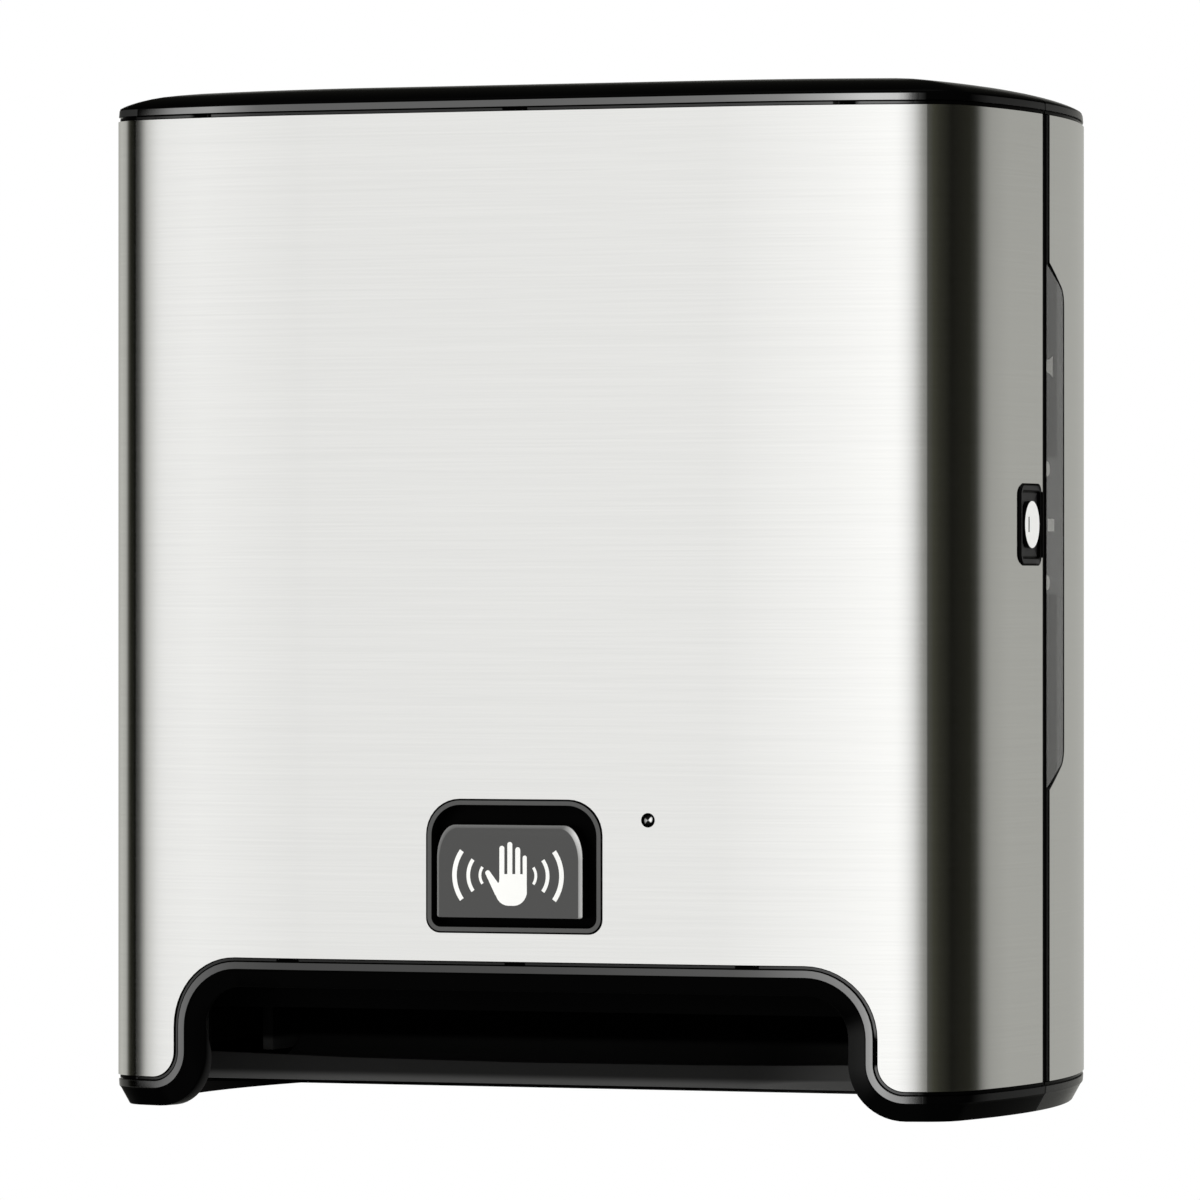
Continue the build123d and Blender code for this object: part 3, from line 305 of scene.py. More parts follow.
# %% The status lamp: a clear bead over a dark cup, with a painted highlight in two wedges beside its axis
lamp_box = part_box("lamp_lens")
lamp_middle = (lamp_box[0] + lamp_box[1]) / 2
bead = Finish("lamp_clear")
across = bead.axes(lamp_middle)
up = across.other("Z") - across * 0.2
# The highlight is painted into the colour: two wedges, stronger on the right, fading at the bead's rim.
painted_highlight = bead.ease(across.math("ABSOLUTE") - up.math("ABSOLUTE"), -0.2 * MM, 0.5 * MM, 0, 1)
strength = bead.ease(across, -1.2 * MM, 0.6 * MM, 0.25, 0.9)
rim = bead.ease((across * across + up * up).math("SQRT"), 1.3 * MM, 1.7 * MM, 1, 0)
colour = bead.shade(BLACK, 0.95, painted_highlight * strength * rim)
bead.surface(Base_Color=colour, Roughness=0.2, Specular_IOR_Level=0.05)


# %% Board and cells
def plain(name, tone, **sockets):
    """A finish whose tone drifts slightly over the piece."""
    made = Finish(name)
    made.surface(Base_Color=made.drift(tone, 0.93, 1.05, made.noise(30)), **sockets)


plain("circuit_green", (0.03, 0.16, 0.07), Roughness=0.3, Coat_Weight=0.5)
plain("cell_wrap", (0.07, 0.07, 0.08), Metallic=0.4, Roughness=0.35)

# %% Towel paper and core card
roll_low, roll_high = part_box("paper_roll")
roll_axis = (roll_low + roll_high) / 2
LAYERS_PER_METRE = 900


def wound_paper(name, tone):
    """Paper in layers: relief is a sine of the distance from the roll's axis, plus soft embossing."""
    paper = Finish(name)
    flat = paper.node("ShaderNodeVectorMath", {"operation": "MULTIPLY"}, {0: paper.place(roll_axis), 1: (0, 1, 1)})
    radius = paper.node("ShaderNodeVectorMath", {"operation": "LENGTH"}, {0: flat}, out="Value")
    layers = (radius * (2 * np.pi * LAYERS_PER_METRE)).math("SINE")
    emboss = paper.noise(420, detail=2)
    relief = paper.bump(layers * 0.3 + emboss, 0.0003, 0.5)
    paper.surface(Base_Color=paper.drift(tone, 0.88, 1, emboss), Roughness=0.92, Normal=relief)


wound_paper("towel_paper", (0.84, 0.83, 0.80))
wound_paper("core_card", (0.46, 0.34, 0.22))
print("finishes", len(finishes))

# %% [markdown]
# Three ways of making a mesh serve for all pieces. A sheet is cut flat and then bent.
# A grid of points is a function of two parameters, closed loops joined by quads; its ends can be capped.
# A CAD copy is merged, its edges are softened by a Bevel modifier, and it stands for the node.

# %% From arrays to pieces
SAME_PLACE, CREASE = 1e-7, 32


def dress(piece, body, slot, *stands_for):
    """Seat a piece in the model: its body, its finish, and the nodes that it stands for."""
    piece.data.materials.clear()
    piece.data.materials.append(finishes[slot])
    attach(piece, body)
    if stands_for:
        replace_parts(piece, *stands_for)


def add(name, data):
    """An object in the scene that holds a mesh, a lamp or a camera."""
    made = bpy.data.objects.new(name, data)
    bpy.context.scene.collection.objects.link(made)
    return made


def smooth_piece(name, mesh, crease=CREASE):
    """A mesh object that is smooth except where faces meet at more than crease degrees."""
    mesh.shade_smooth()
    mesh.set_sharp_from_angle(angle=np.radians(crease))
    return add(name, mesh)


def new_piece(name, points, faces, outward=True, crease=CREASE, band=None):
    """A smooth piece from arrays, with an optional value for each point that a finish can read: painted light, and on
    the sensor pad also its face's own grey.
    """
    mesh = bpy.data.meshes.new(name)
    mesh.from_pydata(np.asarray(points).reshape(-1, 3).tolist(), [], faces)
    if band is not None:
        values = np.ravel(band).astype(np.float32)
        mesh.attributes.new("band", "FLOAT", "POINT").data.foreach_set("value", values)
    if outward:
        shell = bmesh.new()
        shell.from_mesh(mesh)
        bmesh.ops.remove_doubles(shell, verts=shell.verts, dist=SAME_PLACE)
        bmesh.ops.dissolve_degenerate(shell, edges=shell.edges, dist=SAME_PLACE)
        bmesh.ops.recalc_face_normals(shell, faces=shell.faces)
        shell.to_mesh(mesh)
        shell.free()
    return smooth_piece(name, mesh, crease)


def flat_cap(loop, start):
    """Triangles that fill a loop as seen from the front, also one that is hollow on a side."""
    outline = [Vector((x, z, 0)) for x, z in loop[:, [0, 2]]]
    return (start + np.array(geometry.tessellate_polygon([outline]))).tolist()


def ring_piece(name, loops, capped=True, band=None, **more):
    """A piece from closed loops, one after another; the first and last are capped by a face.

    The painted light, on the sensor pad also the face's own grey, is given for each place in a loop, or for each
    point.
    """
    loops = np.asarray(loops)
    count, size = loops.shape[:2]
    index = np.arange(count * size).reshape(count, size)
    ahead = np.roll(index, -1, axis=1)
    faces = np.stack([index[:-1], ahead[:-1], ahead[1:], index[1:]], axis=-1).reshape(-1, 4).tolist()
    if capped:
        faces += flat_cap(loops[0], 0) + flat_cap(loops[-1], (count - 1) * size)
    if band is not None:
        band = np.broadcast_to(band, (count, size))
    return new_piece(name, loops, faces, band=band, **more)


# %% [markdown]
# In plan the case has a flat front, wide shoulders, tight corners and slightly bowed sides.
# Sheet metal is cut flat and then bent, so the plan is written as a bend: arc length goes in,
# and the bent place and its outward direction come out. Any inset is then a step against that direction.

# %% The plan of the case
SHOULDER_R, CORNER_R, SIDE_R = 252 * MM, 18 * MM, 286 * MM
SHOULDER_TURN, SIDE_TURN = np.radians([17.0, 76.0])

skin_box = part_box("cover_skin")
side_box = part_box("rear_skin_right")
front_y = skin_box[0].y
half_width = side_box[1].x
skin_low, skin_high = side_box[0].z, side_box[1].z
seam_front, seam_rear = skin_box[1].y, side_box[0].y
rear_edge = side_box[1].y
joint_place = {joint["name"]: joint.get("pos_m") for joint in frame["joints"]}
hinge = joint_place["cover_hinge"]


def plan_sizes(inset):
    """Half the flat front, the three radii and their centres, all drawn in by inset."""
    inset = np.asarray(inset, float)
    least = 3 * MM
    shoulder, corner, side = SHOULDER_R - inset, np.maximum(CORNER_R - inset, least), SIDE_R - inset
    flat = half_width - inset - side * (1 - np.sin(SIDE_TURN))
    flat = flat - corner * (np.sin(SIDE_TURN) - np.sin(SHOULDER_TURN)) - shoulder * np.sin(SHOULDER_TURN)
    shoulder_c = np.stack([flat, front_y + inset + shoulder])
    corner_c = shoulder_c + np.multiply.outer([np.sin(SHOULDER_TURN), -np.cos(SHOULDER_TURN)], shoulder - corner)
    side_c = corner_c + np.multiply.outer([np.sin(SIDE_TURN), -np.cos(SIDE_TURN)], corner - side)
    return flat, (shoulder, corner, side), (shoulder_c, corner_c, side_c)


flat_half, bend_radii, bend_centres = plan_sizes(0)
bend_ends = np.cumsum([flat_half, SHOULDER_R * SHOULDER_TURN, CORNER_R * (SIDE_TURN - SHOULDER_TURN)])


def turn_at(run, side_turn):
    """Whether an arc length lies before each end of a bend, and the turn there; side_turn serves past them all."""
    zones = [run < end for end in bend_ends]
    shoulder, corner = (run - bend_ends[0]) / SHOULDER_R, (run - bend_ends[1]) / CORNER_R
    return zones, np.select(zones, [0 * run, shoulder, SHOULDER_TURN + corner], side_turn)


def bend(arc, inset):
    """Place and outward direction in plan for an arc length from the middle of the front.

    Straight first, then three arcs: place = centre + (radius - inset) * direction of the turn.
    """
    run = np.abs(arc)
    zones, turn = turn_at(run, SIDE_TURN + (run - bend_ends[2]) / SIDE_R)
    outward = np.stack([np.sin(turn), -np.cos(turn)], axis=-1)
    on_arc = [np.asarray(c) + r * outward for c, r in zip(bend_centres, bend_radii)]
    level = np.stack([run, np.full_like(run, front_y)], axis=-1)
    place = np.select([z[..., None] for z in zones], [level, on_arc[0], on_arc[1]], on_arc[2])
    side = np.where(arc < 0, -1.0, 1.0)[..., None] * [1.0, 0.0] + [0.0, 1.0]
    return (place - np.asarray(inset)[..., None] * outward) * side, outward * side


def arc_at_y(y):
    """Arc length at which the right side reaches depth y."""
    turn = np.arccos((bend_centres[2][1] - y) / SIDE_R)
    return bend_ends[2] + (turn - SIDE_TURN) * SIDE_R


def arc_at_x(x):
    """Arc length at which the front or its shoulder reaches x."""
    beyond = np.clip((np.abs(x) - flat_half) / SHOULDER_R, 0, 1)
    arc = np.where(np.abs(x) < flat_half, np.abs(x), flat_half + SHOULDER_R * np.arcsin(beyond))
    return np.sign(x) * arc


def bend_steps(end, counts):
    """Arc lengths in steps over shoulder, corner and side, up to end."""
    stops = [*bend_ends, end]
    return np.unique(np.concatenate([np.linspace(*run) for run in zip(stops, stops[1:], counts)]))


print("flat half of the front", round(float(flat_half), 4), "bend ends", bend_ends.round(4))

# %% [markdown]
# The cover's steel is one blank with a mouth cut into its lower edge and holes for sensor, lamp and lock.
# A flat cut is a job for a constrained triangulation: the outline, the holes and a bend line at each small turn
# are edges that no triangle may cross. The flat triangles are then bent, given their gauge and closed by rims.


# %% Cutting and bending sheet
def inside(points, loop):
    """True where a point lies in a closed loop: a level ray from it crosses the loop an odd number of times."""
    a, b = loop, np.roll(loop, -1, axis=0)
    height = points[:, None, 1]
    crossed = (a[:, 1] > height) != (b[:, 1] > height)
    share = (height - a[:, 1]) / np.where(b[:, 1] == a[:, 1], 1, b[:, 1] - a[:, 1])
    return (crossed & (points[:, None, 0] < a[:, 0] + share * (b[:, 0] - a[:, 0]))).sum(1) % 2 == 1


def triangulate(loops, holes=(), lines=()):
    """Flat triangles in any of the loops and in no hole, with extra straight lines that they respect."""
    rings = [*loops, *holes]
    points = np.concatenate([*rings, np.reshape(lines, (-1, 2))])
    edges, start = [], 0
    for ring in rings:
        index = start + np.arange(len(ring))
        edges += np.column_stack([index, np.roll(index, -1)]).tolist()
        start += len(ring)
    edges += (start + np.arange(2 * len(lines)).reshape(-1, 2)).tolist()
    found = geometry.delaunay_2d_cdt([Vector(p) for p in points], edges, [], 0, SAME_PLACE)
    corners, triangles = np.array(found[0]), np.array(found[2])
    middle = corners[triangles].mean(axis=1)
    filled, cut = (np.any([inside(middle, ring) for ring in group], axis=0) for group in (loops, holes))
    used, triangles = np.unique(triangles[filled & ~cut], return_inverse=True)
    return corners[used], triangles.reshape(-1, 3)


def cut_blank(outline, holes, columns):
    """A blank with holes and bend lines, its triangles all turned the same way."""
    low, high = outline[:, 1].min() - MM, outline[:, 1].max() + MM
    corners, triangles = triangulate([outline], holes, [((c, low), (c, high)) for c in columns])
    a, b, c = (corners[triangles[:, k]] for k in range(3))
    turned = (b - a)[:, 0] * (c - a)[:, 1] - (b - a)[:, 1] * (c - a)[:, 0] < 0
    triangles[turned] = triangles[turned][:, ::-1]
    return corners, triangles


def bent_sheet(name, blank, gauge, sunk=0.0):
    """Bend a flat blank of (arc, z) points: an outer skin, an inner skin a gauge behind it, and rims between.

    sunk is how deep the outer skin lies behind the face of the case.
    """
    flat, triangles = blank
    skins, normals = [], []
    for depth, sign in ((sunk, 1.0), (sunk + gauge, -1.0)):
        place, outward = bend(flat[:, 0], np.full(len(flat), depth))
        skins.append(np.column_stack([place, flat[:, 1]]))
        normals.append(np.column_stack([outward * sign, np.zeros(len(flat))]))
    count = len(flat)
    edges = np.concatenate([triangles[:, [0, 1]], triangles[:, [1, 2]], triangles[:, [2, 0]]])
    rim = edges[~np.isin(edges @ [count, 1], edges @ [1, count])]
    wall = np.stack([skins[0][rim[:, 1]], skins[0][rim[:, 0]], skins[1][rim[:, 0]], skins[1][rim[:, 1]]], axis=1)
    across = np.cross(wall[:, 1] - wall[:, 0], wall[:, 3] - wall[:, 0])
    across /= np.linalg.norm(across, axis=1, keepdims=True) + 1e-12
    points = np.concatenate([*skins, wall.reshape(-1, 3)])
    faces = triangles.tolist() + (triangles[:, ::-1] + count).tolist()
    faces += (2 * count + np.arange(4 * len(rim)).reshape(-1, 4)).tolist()
    piece = new_piece(name, points, faces, outward=False)
    piece.data.normals_split_custom_set_from_vertices(
        np.concatenate([*normals, np.repeat(across, 4, axis=0)]).tolist()
    )
    return piece


def way_at(turn):
    """Directions in a plane, by their angle from its first axis."""
    return np.stack([np.cos(turn), np.sin(turn)], axis=-1)


def corner_turns(steps):
    """Angles round four corners, a quarter turn in steps for each."""
    return np.radians([0, 90, 180, 270])[:, None] + np.linspace(0, np.pi / 2, steps)


def round_loop(low, high, radii, steps=10):
    """A rectangle from low to high with round corners: radii start at the upper right and go left.

    A corner's radius is one number, or a pair for a corner that is higher than wide.
    """
    radii = np.broadcast_to(np.reshape(radii, (4, -1)), (4, 2))
    corners = np.array([high, (low[0], high[1]), low, (high[0], low[1])])
    inward = np.array([(-1, -1), (1, -1), (1, 1), (-1, 1)])
    return (corners[:, None] + radii[:, None] * (inward[:, None] + way_at(corner_turns(steps)))).reshape(-1, 2)


# %% The mouth's edge
MOUTH_R, FLARE_R, RELIEF_R = 26 * MM, 9.5 * MM, 7.5 * MM
MOUTH_HALF, MOUTH_RISE = 135 * MM, 44.3 * MM
CLIP_EDGES = np.array([92.45, 83.55, 3.95]) * MM
CLIP_STEP = 0.05 * MM
mouth_top = skin_low + MOUTH_RISE


def mouth_path(steps=14):
    """The steel's lower edge on the right, from the flare to the middle: (x, z), and the way off the steel.

    A quarter turn out of the level edge, a rise, and a quarter turn into the mouth's top.
    """
    upward = way_at(np.linspace(0, np.pi / 2, steps))
    outward = -upward[:, ::-1]
    flare = np.array([MOUTH_HALF + FLARE_R, skin_low + FLARE_R]) + FLARE_R * outward
    turn = np.array([MOUTH_HALF - MOUTH_R, mouth_top - MOUTH_R]) + MOUTH_R * upward
    stops = np.append(CLIP_EDGES[:, None] + [CLIP_STEP, -CLIP_STEP], 0)
    top = np.insert(stops[:, None], 1, mouth_top, axis=1)
    off = np.concatenate([outward, -upward, np.tile([0.0, -1.0], (len(top), 1))])
    return np.concatenate([flare, turn, top]), off


edge_place, edge_off = (np.concatenate([half, half[-2::-1] * [-1.0, 1.0]]) for half in mouth_path())
print("points along the mouth", len(edge_place))

# %% The steel of the cover
sensor_box, lock_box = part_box("sensor_bezel"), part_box("lock_escutcheon")
HOLE_GAP, GAUGE = 0.3 * MM, 0.8 * MM
SENSOR_TOP_R, SENSOR_LOW_R = 13 * MM, 5.4 * MM
LOCK_CORNER_R, LOCK_TRIM, LOCK_SHORT = 4 * MM, 2.4 * MM, 0.9 * MM
TAB_HALF, TAB_R = 11.9 * MM, 0.2 * MM
BEND_COUNTS, LAMP_COUNT = (26, 40, 12), 40

right_end = arc_at_y(seam_front)
left_end = -arc_at_y(hinge[1] - np.sqrt(RELIEF_R**2 - (hinge[0] + half_width) ** 2))
edge_flat = np.column_stack([arc_at_x(edge_place[:, 0]), edge_place[:, 1]])
cover_ends = [(right_end, skin_high), (left_end, skin_high), (left_end, skin_low)]
cover_outline = np.concatenate([cover_ends, edge_flat[::-1], [(right_end, skin_low)]])
sensor_low, sensor_high = np.array(sensor_box)[:, [0, 2]]
sensor_radii = np.array([SENSOR_TOP_R, SENSOR_TOP_R, SENSOR_LOW_R, SENSOR_LOW_R])
sensor_hole = round_loop(sensor_low - HOLE_GAP, sensor_high + HOLE_GAP, sensor_radii)
lamp_r = (lamp_box[1].x - lamp_box[0].x) / 2 + 2 * HOLE_GAP
lamp_turn = np.linspace(0, 2 * np.pi, LAMP_COUNT, endpoint=False)
lamp_hole = np.array([lamp_middle.x, lamp_middle.z]) + lamp_r * way_at(lamp_turn)
lock_end = right_end - LOCK_SHORT
lock_low = (arc_at_y(lock_box[0].y + LOCK_TRIM - HOLE_GAP), lock_box[0].z - HOLE_GAP)
lock_hole = round_loop(lock_low, (lock_end, lock_box[1].z + HOLE_GAP), [LOCK_CORNER_R] * 4)
lock_middle = np.array(joint_place["lock_turn"])[1:]
tab_low, tab_high = lock_middle[1] - TAB_HALF, lock_middle[1] + TAB_HALF
tab_hole = round_loop((lock_end - MM, tab_low), (right_end + MM, tab_high), [TAB_R] * 4)
bend_lines = bend_steps(right_end, BEND_COUNTS)
columns = np.concatenate([-bend_lines, bend_lines])
columns = columns[(columns > left_end + MM) & (columns < right_end - MM)]
cover_blank = cut_blank(cover_outline, [sensor_hole, lamp_hole, lock_hole, tab_hole], columns)
dress(bent_sheet("cover_wrap", cover_blank, GAUGE), "cover", "steel_wrap", "cover_skin")
print("cover wrap", len(cover_blank[1]), "triangles in the blank")

# %% The steel bands of the rear case
window_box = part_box("side_window")
WINDOW_SLOPE, WINDOW_R, WINDOW_STEPS, BAND_COUNT = 10.5 * MM, 5 * MM, 9, 16
seam_end, wall_end = arc_at_y(seam_rear), arc_at_y(rear_edge)
pane_rear = arc_at_y(window_box[1].y + HOLE_GAP)
pane_low, pane_high = window_box[0].z - HOLE_GAP, window_box[1].z + HOLE_GAP


def soften(corners, radii, steps=5):
    """Round a closed section: each corner becomes a parabola between points a radius away on its two sides."""
    corners, radii = np.asarray(corners, float), np.asarray(radii, float)[:, None]
    back, ahead = np.roll(corners, 1, axis=0) - corners, np.roll(corners, -1, axis=0) - corners
    start = corners + back / np.linalg.norm(back, axis=1, keepdims=True) * radii
    end = corners + ahead / np.linalg.norm(ahead, axis=1, keepdims=True) * radii
    t = np.linspace(0, 1, steps)[None, :, None]
    curve = (1 - t) ** 2 * start[:, None] + 2 * t * (1 - t) * corners[:, None] + t**2 * end[:, None]
    return curve.reshape(-1, 2)


def window_edge(front, rear, low, high, slope):
    """The window's outline, from its upper front corner round the back to its lower front corner."""
    ends = [(front, high), (rear, high - slope), (rear, low + slope), (front, low)]
    return soften(ends, [0, WINDOW_R, WINDOW_R, 0], WINDOW_STEPS)[WINDOW_STEPS - 1 : 1 - WINDOW_STEPS]


right_edges = [(seam_end, skin_low), (wall_end, skin_low), (wall_end, skin_high), (seam_end, skin_high)]
right_band = np.concatenate([right_edges, window_edge(seam_end, pane_rear, pane_low, pane_high, WINDOW_SLOPE)])
left_front = -arc_at_y(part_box("rear_skin_left")[0].y)
left_edges = [(left_front, skin_low), (left_front, skin_high), (-wall_end, skin_high), (-wall_end, skin_low)]
band_lines = np.linspace(seam_end, wall_end, BAND_COUNT)[1:-1]
for name, outline, lines in (("right", right_band, band_lines), ("left", np.array(left_edges), -band_lines)):
    lines = lines[(lines > outline[:, 0].min() + MM) & (lines < outline[:, 0].max() - MM)]
    sheet = bent_sheet(f"rear_painted_light_{name}", cut_blank(outline, [], lines), GAUGE)
    dress(sheet, "base", "steel_wrap", f"rear_skin_{name}")

# %% The smoked pane and what lies under it
PANE_FRONT, PANE_T, PANE_SUNK = hinge[1] + 1.0 * MM, 0.2 * MM, 0.02 * MM
PANE_GAP, PANE_REAR, PANE_COUNT = 0.9 * MM, 1.8 * MM, 8
LUG_SIZE, LUG_COUNT, KEEPER_HALF = (4.05 * MM, 2.7 * MM), 24, 2.25 * MM
CATCH_T, CATCH_SUNK = 0.1 * MM, 0.25 * MM
pane_start, pane_end = arc_at_y(PANE_FRONT), pane_rear - PANE_REAR
pane_slope = WINDOW_SLOPE * (pane_end - seam_end) / (pane_rear - seam_end)
pane = window_edge(pane_start, pane_end, pane_low + PANE_GAP, pane_high - PANE_GAP, pane_slope)
pane_blank = cut_blank(pane, [], np.linspace(pane_start, pane_end, PANE_COUNT)[1:-1])
dress(bent_sheet("side_pane", pane_blank, PANE_T, PANE_SUNK), "base", "smoked_window", "side_window")

catch_end = pane_start + 0.3 * MM
lug = way_at(np.linspace(-np.pi / 2, np.pi / 2, LUG_COUNT)) * LUG_SIZE + [catch_end, 0]
nut = np.array([(0.0, -1.4), (0.6, -2.2), (2.2, -2.2), (5.4, -3.4), (5.4, 3.4), (2.2, 2.2), (0.6, 2.2), (0.0, 1.4)])
nut = nut * [1.4 * MM, 1.1 * MM] + [catch_end, 0]
keeper_ends = (catch_end + 1.6 * MM, -KEEPER_HALF), (catch_end + 9.6 * MM, KEEPER_HALF)
keeper = round_loop(*keeper_ends, [0.3 * MM] * 4)
catches = {"lug_upper": (lug, 45.8 * MM), "lug_lower": (lug, 4.7 * MM), "nut": (nut, 83.0 * MM)}
catches["keeper"] = keeper, lock_middle[1]
for name, (outline, level) in catches.items():
    blank = cut_blank(outline + [0, level], [], [])
    dress(bent_sheet(f"catch_{name}", blank, CATCH_T, CATCH_SUNK), "base", "gear_white")

# %% [markdown]
# The mouldings are extrusions in spirit: one section, carried along a path.
# The lower one follows the steel's edge over the feet and round the mouth. Its section is drawn in two numbers,
# how deep a point lies behind the steel's face and how far it lies off the edge, so the bevel and the rounded lip
# keep their form through every turn. The bevel's brightness is painted light, a painted reflection set along the
# case.

# %% Sections with soft corners
TRIM_INNER, FLANK_DEEPER = 12.0, -7.3
TONGUE, LEDGE, GROOVE = (3.7, 6.3), 0.7, 1.6
STEPS = 5
reveal = [(TONGUE[1], -6.0), (TONGUE[0], -6.0), (TONGUE[0], 0.3), (LEDGE, 0.3), (LEDGE, 1.2), (GROOVE, 1.2)]
reveal += [(GROOVE, 1.65), (0.2, 1.65)]
reveal_radii = [0.2, 0.2, 0.02, 0.08, 0.08, 0.1, 0.1, 0.2]
lip = [(0.35, 4.15), (0.5, 4.3), (1.0, 4.9), (4.3, 10.9), (TRIM_INNER, 10.9), (TRIM_INNER, 1.8), (TONGUE[1], 1.8)]
lip_radii = [0.06, 0.06, 0.3, 0.5, 0.1, 0.1, 0.1]
trim_corners = reveal[2:] + lip + reveal[:2]
trim_section = soften(trim_corners, reveal_radii[2:] + lip_radii + reveal_radii[:2], STEPS) * MM
# Painted light at each point of the section: a painted reflection on the ledge and the bevel, and a faint painted
# sheen on the slanted face.
section_painted_light = np.repeat([0, 0.35, 0.35, 0, 0, 1, 1] + [0] * 8, STEPS).astype(float)
slant_painted_sheen = np.repeat([0] * 8 + [0.028, 0.02] + [0] * 5, STEPS)
on_ledge = np.repeat([deep == LEDGE for deep, off in trim_corners], STEPS)

# %% Lower moulding of the cover
CAP_GAP, NEAR = 0.8 * MM, 0.1 * MM
# Painted light along the case: a painted sheen on the flanks, and the bevel's painted reflection as millimetres
# against light.
FOOT_COUNT, FLANK_LIGHT = 70, 0.045
SHEEN_Z, SHEEN = (-173, -167, -155, -147), (0, 1, 1, 0)
TRIM_LIGHT = (
    (-172, 0.03), (-150, 0.2), (-135, 0.31), (-128, 0.24), (-110, 0.16), (-95, 0.13), (60, 0.135), (90, 0.2),
    (109, 0.34), (128, 0.44), (134, 0.6), (137, 0.6), (140, 0.5), (145, 0.45), (149, 0.2), (152, 0), (172, 0),
    (187, 0.03), (231, 0.045),
)
hinge_clear = RELIEF_R + NEAR


def bevel_light(arc, levels):
    """Painted light on the bevel at an arc length: levels are pairs of millimetres along the case and light."""
    return np.interp(arc / MM, *np.transpose(levels))


def lower_moulding():
    """Carry the section along the edge: (arc, z) moves off the edge, then the bend takes it in by its depth.

    The ledge beside the steel is cut away at the clips, and the wall behind the lip thins round the mouth.
    It also returns painted light for each point: a painted reflection on the ledge and bevel, a painted sheen on the
    left flank's inner wall and the right flank's slanted face, and none on the ledge at the clips and past the
    shoulder.
    """
    deep, off = trim_section.T
    moved = edge_place[:, None] + off[None, :, None] * edge_off[:, None]
    mouth = np.stack([arc_at_x(moved[..., 0]), moved[..., 1]], axis=-1)
    foot_arc = arc_at_x(MOUTH_HALF + FLARE_R)
    feet = []
    for ends in ((arc_at_y(hinge[1] - CAP_GAP), foot_arc), (-foot_arc, -arc_at_y(hinge[1] - hinge_clear))):
        foot = np.broadcast_arrays(np.linspace(*ends, FOOT_COUNT)[:, None], skin_low - off)
        feet.append(np.stack(foot, axis=-1))
    path = np.concatenate([feet[0][:-1], mouth, feet[1][1:]])
    arc, (x, z) = path[..., 0], edge_place.T
    outer_end, inner_end, middle_end = CLIP_EDGES
    clip = ((np.abs(x) > inner_end) & (np.abs(x) < outer_end)) | (np.abs(x) < middle_end)
    clip &= z > mouth_top - NEAR
    clip |= (x > MOUTH_HALF - NEAR) & (z > skin_low + FLARE_R - 2 * NEAR)
    lift = np.clip((z - skin_low) / (2 * FLARE_R), 0, 1) * FLANK_DEEPER * MM
    # Painted sheen: on the left flank's inner wall by height, and on the right flank's slanted face between given
    # heights.
    flank = (x < 0) * np.clip((mouth_top - z) / MOUTH_RISE, 0, 1)
    sheen = (x > 0) * np.interp(z / MM, SHEEN_Z, SHEEN)
    clip, lift, flank, sheen = (np.pad(v, FOOT_COUNT - 1)[:, None] for v in (clip, lift, flank, sheen))
    inner = deep > (TRIM_INNER - 1) * MM
    plan, _ = bend(arc, np.where(clip & on_ledge, GROOVE * MM, deep) + lift * inner)
    # No painted light on the ledge at the clips and past the shoulder.
    dark = on_ledge & (clip | (np.abs(arc) > bend_ends[1]))
    light = np.where(dark, 0, section_painted_light) * bevel_light(arc, TRIM_LIGHT)
    light = np.maximum(light, sheen * slant_painted_sheen)
    light = np.maximum(light, FLANK_LIGHT * flank * (lift != 0) * inner)
    return np.concatenate([plan, path[..., 1:]], axis=-1), light


loops, band = lower_moulding()
dress(ring_piece("cover_lower_moulding", loops, band=band), "cover", "black_trim", "cover_bottom_trim")

# %% [markdown]
# The cap crowns the case: above a thin reveal and a bevel, which is painted bright as a painted reflection, it rises
# fast at the rim and flattens to the middle.
# Its section is again depth behind the face against height, but it is carried along the plan itself.
# Where the cap is cut at the seam, its curves end on the seam line, or on the round groove of the hinge.

# %% Crown section
CROWN_IN, CROWN_UP, CROWN_SPEED = 56.0, 8.2, 0.75
BAND_TOP, BAND_STEP = 4.0, 0.15
crown_deep = np.array([0.7, 1.2, 2, 3, 4.5, 6.5, 9, 12, 16, 21, 27, 34, 42, 49, CROWN_IN])
crown_rise = BAND_TOP + BAND_STEP + CROWN_UP * (1 - (1 - (crown_deep / CROWN_IN) ** CROWN_SPEED) ** 2)
rim_corners = reveal + [(0.4, BAND_TOP), (0.5, BAND_TOP + BAND_STEP)]
rim_radii = reveal_radii + [0.06, 0.05]
rim_section = soften(rim_corners + [(TONGUE[1], BAND_TOP + 1)], rim_radii + [0.02], STEPS)[:-STEPS]
cap_deep, cap_up = np.concatenate([rim_section, np.column_stack([crown_deep, crown_rise])]).T * MM
# Painted light on the rim's section: a faint painted reflection on the ledge, a full one on the bevel.
rim_painted_light = np.repeat([0, 0, 0, 0.27, 0.27, 0, 0, 1, 1, 0], STEPS).astype(float)
rim_ledge = np.repeat([deep == LEDGE for deep, up in rim_corners], STEPS)
cap_painted_light, cap_ledge = (np.pad(v, (0, len(crown_deep))) for v in (rim_painted_light, rim_ledge))


def half_at(deep, y):
    """Half the width at depth y on the sides of the plan drawn in by deep."""
    return bend_centres[2][0] + np.sqrt((SIDE_R - deep) ** 2 - (y - bend_centres[2][1]) ** 2)


def seam_cut(deep, gap, side):
    """Depth at which a curve ends near the seam: a gap off the seam line, or off the hinge groove on the left."""
    reach = np.maximum(hinge_clear**2 - (half_at(deep, hinge[1]) + hinge[0]) ** 2, 0)
    return hinge[1] + side * np.maximum(gap, np.sqrt(reach))


